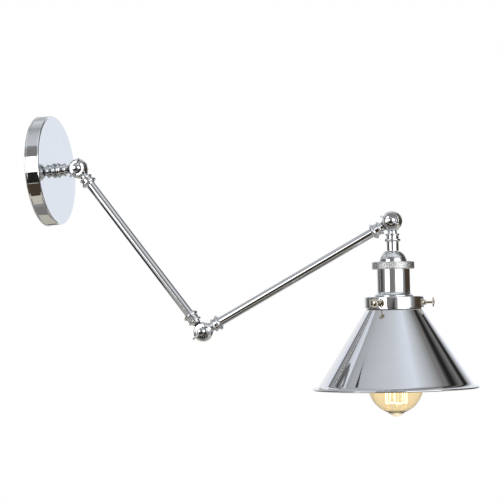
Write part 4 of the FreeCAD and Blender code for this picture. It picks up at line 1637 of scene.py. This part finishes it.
@dataclass
class Bulb(SubAssembly):
    """The filament bulb: its screw cap, blown globe, glass stem and cage of wire."""

    place: Place
    body: str = "head"
    collar_end: float = 75.5
    cap_radius: float = 13.2
    cap_sheet: float = 0.4
    cap_floor: float = 1.8
    cap_bottom: float = 97.0
    thread_pitch: float = 3.6
    thread_depth: float = 0.7
    thread_top: float = 76.5
    thread_bottom: float = 93.0
    thread_rows: int = 60
    thread_segments: int = 120
    neck_radius: float = 12.6
    neck_top: float = 90.0
    neck_gap: float = 0.1
    wall: float = 0.9
    globe_radius: float = 30.3
    globe_level: float = 177.8
    flank_degrees: float = 17.0
    flank_blend: float = 60.0
    tip: float = 211.9
    tip_root_radius: float = 11.4
    tip_drop: float = 4.9
    tip_reach: float = 8.9
    tip_shoulder: Point = (1.6, 4.7)
    tip_blend: float = 1.5
    rim_digits: int = 5
    cage_radius: float = 11.5
    cage_top: float = 140.0
    cage_bottom: float = 197.0
    cage_strands: int = 8
    cage_bend: float = 1.6
    wire_radius: float = 0.45
    rod_radius: float = 2.2
    flare_top: float = 100.0
    flare_length: float = 18.0
    flare_rim: float = 1.0
    flare_waist: Point = (105.4, 4.9)
    kept = {
        "bulb_contact": Finish.BRASS, "bulb_collar": Finish.BLACK_GLASS, "filament_supports": Finish.EMBER,
    }

    def globe(self, profile: Profile, offset: float) -> Profile:
        """Draw the blown form from the neck to the equator's far side.

        Args:
            profile: the outline so far, which ends at the top of the neck.
            offset: how far inside the outer form it runs.

        Returns:
            The same outline.
        """
        flank = math.radians(self.flank_degrees)
        radius = self.globe_radius - offset
        neck = self.neck_radius - offset
        touch = (self.globe_level - radius * math.sin(flank), radius * math.cos(flank))
        meet = touch[0] - (touch[1] - neck) / math.tan(flank)
        reach = self.flank_blend * math.tan(flank / 2)
        leave = (meet + reach * math.cos(flank), neck + reach * math.sin(flank))
        bow = self.flank_blend * (1 - math.cos(flank / 2))
        middle = (meet - reach + self.flank_blend * math.sin(flank / 2), neck + bow)
        profile.line(meet - reach, neck).arc(middle, leave).line(*touch)
        far_side = (self.globe_level + radius * math.sin(flank), touch[1])
        return profile.arc((self.globe_level, radius), far_side)

    def glass(self) -> Piece:
        """The blown glass with its drawn tip: an outer skin and an inner one, joined at the neck.

        Returns:
            The finished piece.
        """
        outer = Profile([(self.neck_top, self.neck_radius)], closed=False)
        self.globe(outer, 0.0)
        drop = math.sqrt(self.globe_radius**2 - self.tip_root_radius**2)
        bend = self.globe_radius * EIGHTH
        outer.arc((self.globe_level + bend, bend), (self.globe_level + drop, self.tip_root_radius))
        outer.line(self.tip - self.tip_drop, self.tip_reach)
        above, reach = self.tip_shoulder
        outer.arc((self.tip - above, reach), (self.tip, 0.0))
        inner = Profile([(self.neck_top, self.neck_radius - self.wall)], closed=False)
        self.globe(inner, self.wall)
        hollow_radius = self.globe_radius - self.wall
        bend = hollow_radius * EIGHTH
        inner.arc((self.globe_level + bend, bend), (self.globe_level + hollow_radius, 0.0))
        outside = turned("bulb_outside", outer.rounded(self.tip_blend), Finish.AMBER_GLASS)
        inside = turned("bulb_inside", inner, Finish.AMBER_GLASS)
        mesh = self.shell_of(outside, inside)
        return Piece("bulb_globe", mesh, Finish.AMBER_GLASS, self.body, self.place, ("bulb_glass",))

    def shell_of(self, outside: bpy.types.Mesh, inside: bpy.types.Mesh) -> bpy.types.Mesh:
        """Join an outer and an inner skin at their open rims into one closed wall.

        Args:
            outside: the outer skin.
            inside: the inner skin, with as many segments at its rim.

        Returns:
            The closed wall.
        """
        def place_on_rim(vert: bmesh.types.BMVert) -> Point:
            """A vertex's distance from the axis and its turn about it."""
            return round(vert.co.yz.length, self.rim_digits), math.atan2(vert.co.y, vert.co.z)

        work = bmesh.new()
        work.from_mesh(outside)
        work.from_mesh(inside)
        rim = {vert for edge in work.edges if edge.is_boundary for vert in edge.verts}
        in_order = sorted(rim, key=place_on_rim)
        half = len(in_order) // 2
        inner, outer = in_order[:half], in_order[half:]
        for number in range(half):
            after = (number + 1) % half
            work.faces.new((outer[number], outer[after], inner[after], inner[number]))
        bmesh.ops.recalc_face_normals(work, faces=work.faces)
        mesh = outside.copy()
        work.to_mesh(mesh)
        work.free()
        mesh.name = "bulb_globe"
        return mesh

    def cap(self) -> Piece:
        """The pressed screw cap with its round thread.

        Returns:
            The finished piece.
        """
        bore = self.cap_radius - self.cap_sheet - self.thread_depth
        floor = self.cap_radius - self.cap_sheet - self.cap_floor
        under_floor = self.collar_end + self.cap_sheet
        mouth = self.neck_radius + self.neck_gap
        profile = Profile([(self.collar_end, floor)])
        profile.line(self.collar_end, self.cap_radius - 2 * self.cap_sheet)
        profile.line(self.thread_top, self.cap_radius)
        profile.line(self.thread_bottom, self.cap_radius, self.thread_rows)
        profile.line(self.cap_bottom, self.cap_radius - EDGE_BREAK).line(self.cap_bottom, mouth)
        profile.line(self.thread_bottom, mouth).line(self.neck_top - FACE_GAP, bore)
        profile.line(under_floor, bore).line(under_floor, floor)
        thread = Relief(
            self.cap_radius, self.thread_depth, 1, self.thread_pitch, self.thread_segments, roundness=1.0,
        )
        return self.turned_piece("bulb_screw_cap", profile, Finish.NICKEL, "bulb_cap", thread)

    def stem(self) -> Piece:
        """The trumpet sealed into the neck and the rod that carries the wire.

        Returns:
            The finished piece.
        """
        flare = self.neck_radius - self.wall - RUNNING_FIT
        profile = Profile.rod(self.flare_top - self.flare_rim, flare).line(self.flare_top, flare)
        profile.arc(self.flare_waist, (self.flare_top + self.flare_length, self.rod_radius))
        profile.line(self.cage_bottom + self.rod_radius, self.rod_radius).crown(self.rod_radius)
        return self.turned_piece("bulb_glass_stem", profile.rounded(), Finish.CLEAR_GLASS, "glass_stem")

    def wire(self) -> Piece:
        """The filament, wound up and down round its cage.

        Returns:
            The finished piece.
        """
        name = "bulb_filament"
        mesh = run_tree("Filament cage", wire_cage, bpy.data.meshes.new("cage"), {
            "Strands": self.cage_strands, "Cage Radius": self.cage_radius * MM,
            "Top": self.cage_top * MM, "Bottom": self.cage_bottom * MM, "Bend": self.cage_bend * MM,
            "Wire Radius": self.wire_radius * MM, "Material": Finish.EMBER.material,
        })
        mesh.name = name
        face_outwards(mesh)
        return Piece(name, mesh, Finish.EMBER, self.body, self.place, ("filament",))

    def build(self) -> list[Piece]:
        """Make the globe, the cap, the stem and the filament."""
        return [self.glass(), self.cap(), self.stem(), self.wire()]


# The studio

# Chrome keeps about four fifths of the light that it mirrors
CARD_LIGHT = 1.25

# Watts for each square metre of a soft lamp whose face shows as plain white
WHITE_WATTS = 4.0


def bare_tree(owner: Union[bpy.types.Material, bpy.types.World]) -> bpy.types.NodeTree:
    """Give a material or a world an empty node tree.

    Args:
        owner: the material or the world.

    Returns:
        Its tree.
    """
    owner.use_nodes = True
    owner.node_tree.nodes.clear()
    return owner.node_tree


class Tone(Enum):
    """The tones that the studio cards are painted in."""

    FLAG = "#222220"
    SHADE = "#3A3936"
    UMBER = "#43392F"
    SLATE = "#555553"
    STONE = "#787573"
    ASH = "#9C9E9D"
    PEARL = "#B6B8BA"
    MIST = "#CACDD0"
    LINEN = "#DDE1E8"


FLAG, SHADE, UMBER, SLATE, STONE, ASH, PEARL, MIST, LINEN = Tone


@dataclass(frozen=True)
class Card:
    """A studio card round the lamp that only mirrors see.

    It reaches from its low to its high edge, and its tones run from left to right, each at so many
    degrees to the right of the camera.
    """

    name: str
    low: float
    high: float
    tones: tuple[tuple[float, Tone], ...]
    distance: float = 3.0
    step: float = 1.5
    fewest_steps: int = 2

    def tone_at(self, swing: float) -> Colour:
        """The tone at a direction.

        Args:
            swing: degrees to the right of the camera.

        Returns:
            The colour between the two nearest tones.
        """
        for (left, left_tone), (right, right_tone) in zip(self.tones, self.tones[1:]):
            if swing <= right:
                share = max(0.0, (swing - left) / (right - left))
                pair = zip(linear(left_tone.value), linear(right_tone.value))
                red, green, blue, alpha = (a + (b - a) * share for a, b in pair)
                return red, green, blue, alpha
        return linear(self.tones[-1][1].value)

    def marks(self, start: float, end: float) -> list[float]:
        """Angles from one to another, about a step apart."""
        count = max(self.fewest_steps, round((end - start) / self.step))
        return [start + (end - start) * number / count for number in range(count + 1)]

    def hang(self, studio: "Studio") -> None:
        """Hang the card round the lamp.

        Args:
            studio: the studio, which knows the camera's direction.
        """
        lifts = self.marks(self.low, self.high)
        swings = self.marks(self.tones[0][0], self.tones[-1][0])
        spots = [(lift, swing) for lift in lifts for swing in swings]
        verts = [studio.target * MM + studio.toward(swing, lift) * self.distance for lift, swing in spots]
        across = len(swings)
        firsts = [row * across + column for row in range(len(lifts) - 1) for column in range(across - 1)]
        faces = [(first, first + 1, first + across + 1, first + across) for first in firsts]
        mesh = bpy.data.meshes.new(self.name)
        mesh.from_pydata(verts, [], faces)
        paint = mesh.color_attributes.new("tone", "FLOAT_COLOR", "POINT")
        for dab, (_, swing) in zip(paint.data, spots):
            dab.color = self.tone_at(swing)
        mesh.materials.append(card_material())
        card = put(self.name, mesh)
        for ray in ("camera", "diffuse", "shadow", "transmission"):
            setattr(card, "visible_" + ray, False)


def card_material() -> bpy.types.Material:
    """The material of the cards, lit so that a tone shows in chrome as it is written.

    Returns:
        The material, made on first use.
    """
    name = "studio_card"
    found = bpy.data.materials.get(name)
    if found:
        return found
    material = bpy.data.materials.new(name)
    tree = bare_tree(material)
    tone = add_node(tree, "ShaderNodeAttribute", attribute_name="tone")
    light = add_node(tree, "ShaderNodeEmission", {"Color": tone.outputs["Color"], "Strength": CARD_LIGHT})
    add_node(tree, "ShaderNodeOutputMaterial", {"Surface": light})
    return material


@dataclass(frozen=True)
class Softbox:
    """A large soft lamp: its direction, its size in metres and how bright its face is."""

    name: str
    swing: float
    lift: float
    width: float
    height: float
    brightness: float
    distance: float = 2.9

    def hang(self, studio: "Studio") -> None:
        """Hang the lamp, facing the object.

        Args:
            studio: the studio, which knows the camera's direction.
        """
        lamp = bpy.data.lights.new(self.name, "AREA")
        lamp.shape = "RECTANGLE"
        lamp.size = self.width
        lamp.size_y = self.height
        lamp.energy = self.brightness * WHITE_WATTS * self.width * self.height
        box = put(self.name, lamp)
        away = studio.toward(self.swing, self.lift)
        box.location = studio.target * MM + away * self.distance
        box.rotation_euler = away.to_track_quat("Z", "Y").to_euler()


@dataclass
class Studio:
    """The camera at the photograph's angle, the floor, the cards and the soft light."""

    target: Vector = Vector((234.1, 0.0, -107.35))
    azimuth: float = 13.73
    elevation: float = -2.48
    roll: float = -3.93
    camera_distance: float = 2003.0
    camera_reach_m: float = 100.0
    focal_pixels: float = 1814.4
    frame_pixels: float = 500.0
    sensor: float = 36.0
    white: str = "#FFFFFF"
    floor_drop: float = 1200.0
    floor_half_m: float = 30.0
    floor_tone: str = "#CFCABC"
    floor_clear_m: float = 2.0
    floor_fade_m: float = 6.0
    ambient: float = 0.8
    cards: tuple[Card, ...] = (
        Card("card_centre", -8.5, 27.5, ((-29.0, STONE), (0.0, STONE), (12.5, ASH)), distance=3.02),
        Card("card_left", -8.5, 27.5, (
            (-123.0, SLATE), (-101.0, SLATE), (-95.0, SHADE), (-85.0, SLATE), (-74.0, STONE), (-60.0, PEARL),
        ), distance=3.02),
        Card("card_left_far", -8.5, 12.0, (
            (-150.0, MIST), (-139.0, ASH), (-127.0, SLATE), (-117.5, SLATE),
        ), distance=3.02),
        Card("card_left_low", -32.0, -8.0, (
            (-172.0, STONE), (-150.0, SLATE), (-135.0, FLAG), (-76.0, FLAG), (-67.0, PEARL),
        )),
        Card("card_right", -26.0, 27.5, (
            (60.0, LINEN), (67.0, ASH), (76.0, STONE), (86.0, UMBER), (147.0, UMBER),
        ), distance=3.02),
        Card("card_back", -22.0, 31.0, ((146.5, LINEN), (173.0, LINEN)), distance=3.04),
        Card("card_upper_left", 11.5, 47.5, (
            (-150.0, LINEN), (-141.5, LINEN), (-140.0, SLATE), (-137.5, STONE), (-134.0, ASH),
            (-122.5, STONE),
        )),
        Card("card_upper", 27.0, 47.5, (
            (-123.0, STONE), (-120.5, MIST), (-106.5, LINEN), (-104.5, ASH), (-88.0, PEARL), (-62.0, PEARL),
            (-45.0, STONE), (-5.0, STONE), (10.0, ASH), (28.0, MIST), (58.0, MIST), (70.0, PEARL),
            (80.0, ASH), (90.0, STONE), (98.0, STONE),
        )),
        Card("card_upper_right", 5.5, 47.5, (
            (95.0, STONE), (100.0, SHADE), (103.0, FLAG), (108.0, FLAG), (113.0, SLATE), (120.0, STONE),
            (124.0, SLATE), (125.5, FLAG), (132.0, FLAG), (135.5, STONE), (141.0, PEARL), (147.0, PEARL),
        ), distance=2.95),
        Card("card_ceiling", 47.0, 90.0, (
            (-180.0, PEARL), (-155.0, MIST), (-119.0, ASH), (-75.0, PEARL), (2.0, MIST), (46.0, LINEN),
            (58.0, MIST), (70.0, PEARL), (80.0, ASH), (92.0, STONE), (140.0, ASH), (180.0, PEARL),
        ), distance=3.04),
        Card("card_back_upper", 30.0, 47.5, ((-180.0, ASH), (-149.5, PEARL)), distance=3.06),
        Card("card_back_edge", 12.0, 30.5, ((-180.0, ASH), (-166.0, PEARL)), distance=3.06),
        Card("card_low_left", -22.5, -1.5, ((-52.0, FLAG), (1.0, FLAG))),
        Card("card_low_right", -22.5, -8.0, ((0.0, FLAG), (64.0, FLAG))),
        Card("card_lower", -44.0, -21.0, ((-60.0, UMBER), (64.0, UMBER)), distance=1.6),
        Card("card_floor", -90.0, -54.0, (
            (-180.0, STONE), (-95.0, STONE), (-60.0, ASH), (-10.0, STONE), (15.0, SHADE), (75.0, SHADE),
            (115.0, ASH), (180.0, STONE),
        ), distance=1.15),
        Card("strip_left", 43.0, 52.9, ((-85.2, FLAG), (-78.4, FLAG)), distance=2.9, step=0.6),
    )
    softboxes: tuple[Softbox, ...] = (
        Softbox("softbox_left", swing=-44.5, lift=13.0, width=1.75, height=1.55, brightness=1.4),
        Softbox("softbox_right", swing=36.5, lift=10.0, width=2.6, height=1.9, brightness=1.3),
    )

    def toward(self, swing: float, lift: float) -> Vector:
        """The direction at an angle to the right of the camera and above the horizon.

        Args:
            swing: degrees to the right of the camera, seen from it.
            lift: degrees above the horizon.

        Returns:
            A unit vector.
        """
        turn, rise = math.radians(self.azimuth + swing), math.radians(lift)
        return Vector((math.sin(turn) * math.cos(rise), -math.cos(turn) * math.cos(rise), math.sin(rise)))

    def set_camera(self) -> None:
        """Put the camera at the photograph's place, with its tilt."""
        swing, tilt = math.radians(self.azimuth), math.radians(self.roll)
        back = self.toward(0.0, self.elevation)
        level_right = Vector((math.cos(swing), math.sin(swing), 0.0))
        level_up = back.cross(level_right)
        right = level_right * math.cos(tilt) + level_up * math.sin(tilt)
        up = level_up * math.cos(tilt) - level_right * math.sin(tilt)
        camera = bpy.data.cameras.new("camera")
        camera.sensor_width = self.sensor
        camera.lens = self.sensor * self.focal_pixels / self.frame_pixels
        camera.clip_end = self.camera_reach_m
        seat = put("camera", camera)
        turn = Matrix((right, up, back)).transposed().to_4x4()
        seat.matrix_world = Matrix.Translation((self.target + back * self.camera_distance) * MM) @ turn
        bpy.context.scene.camera = seat

    def lay_floor(self) -> None:
        """Lay a pale floor that fades to white far from the lamp."""
        half = self.floor_half_m
        level = (self.target.z - self.floor_drop) * MM
        corners = [(-half, -half, level), (half, -half, level), (half, half, level), (-half, half, level)]
        mesh = bpy.data.meshes.new("floor")
        mesh.from_pydata(corners, [], [(0, 1, 2, 3)])
        material = bpy.data.materials.new("painted_floor")
        tree = bare_tree(material)
        node = partial(add_node, tree)
        place = node("ShaderNodeTexCoord").outputs["Object"]
        spot = node("ShaderNodeSeparateXYZ", (place,)).outputs
        flat = node("ShaderNodeCombineXYZ", {"X": spot["X"], "Y": spot["Y"]})
        away = node("ShaderNodeVectorMath", (flat,), operation="LENGTH")
        fade = node("ShaderNodeMapRange", {
            "Value": away.outputs["Value"], "From Min": self.floor_clear_m, "From Max": self.floor_fade_m,
        }, interpolation_type="SMOOTHSTEP")
        paint = node("ShaderNodeBsdfDiffuse", {"Color": linear(self.floor_tone)})
        white = node("ShaderNodeEmission", {"Color": linear(self.white), "Strength": 1.0})
        mixed = node("ShaderNodeMixShader", (fade, paint, white))
        node("ShaderNodeOutputMaterial", {"Surface": mixed})
        mesh.materials.append(material)
        floor = put("floor", mesh)

    def set_world(self) -> None:
        """White round the studio for the camera, for mirrors and for glass, and softer as light."""
        world = bpy.data.worlds.new("studio_white")
        node = partial(add_node, bare_tree(world))
        ray = node("ShaderNodeLightPath").outputs
        mirrored = node(MATH, (ray["Is Camera Ray"], ray["Is Glossy Ray"]), operation="MAXIMUM")
        seen = node(MATH, (mirrored, ray["Is Transmission Ray"]), operation="MAXIMUM")
        strength = node("ShaderNodeMix", {0: seen, 2: self.ambient, 3: 1.0}, data_type="FLOAT")
        sky = node("ShaderNodeBackground", {"Color": linear(self.white), "Strength": strength})
        node("ShaderNodeOutputWorld", {"Surface": sky})
        bpy.context.scene.world = world
        bpy.context.scene.view_settings.view_transform = "Standard"

    def build(self) -> None:
        """Set up the camera, the floor, the light and the cards."""
        self.set_camera()
        self.lay_floor()
        self.set_world()
        for fitting in self.softboxes + self.cards:
            fitting.hang(self)
        log.info("studio with %d cards and %d lamps", len(self.cards), len(self.softboxes))


def main() -> None:
    """Build the studio and the lamp, piece by piece."""
    logging.basicConfig(level=logging.INFO, format="%(message)s")
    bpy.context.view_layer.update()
    Studio().build()
    wall, elbow, head = (hinge_centre(name) for name in ("lower_arm_swing", "elbow_swing", "head_swing"))
    lower_along = (elbow - wall).normalized()
    upper_along = (head - elbow).normalized()
    head_along = joint_axis("thumb_screw_1_turn").cross(joint_axis("thumb_screw_2_turn")).normalized()
    if head_along.z > 0:
        head_along.negate()
    holder = Place(head, head_along)
    assemblies: list[SubAssembly] = [
        WallSide(),
        Knuckle(
            "wall_knuckle", "lower_arm_swing", Vector((-1.0, 0.0, 0.0)), lower_along, wing_degrees=62.0,
            fixed_body="stem", moving_body="lower_arm", wing_body="wall_wing",
        ),
        Arm("lower_arm", "lower_arm", "lower_arm_swing", "elbow_swing"),
        Knuckle(
            "elbow", "elbow_swing", -lower_along, upper_along, wing_degrees=44.0,
            fixed_body="lower_arm", moving_body="upper_arm", wing_body="elbow_wing",
        ),
        Arm("upper_arm", "upper_arm", "elbow_swing", "head_swing"),
        Knuckle(
            "head_knuckle", "head_swing", -upper_along, head_along, wing_degrees=-30.0,
            fixed_body="upper_arm", moving_body="head", wing_body="head_wing",
        ),
        LampHolder(holder),
        ShadeGallery(holder),
        Bulb(holder),
    ]
    for assembly in assemblies:
        assembly.dress()


if __name__ == "__main__":
    main()
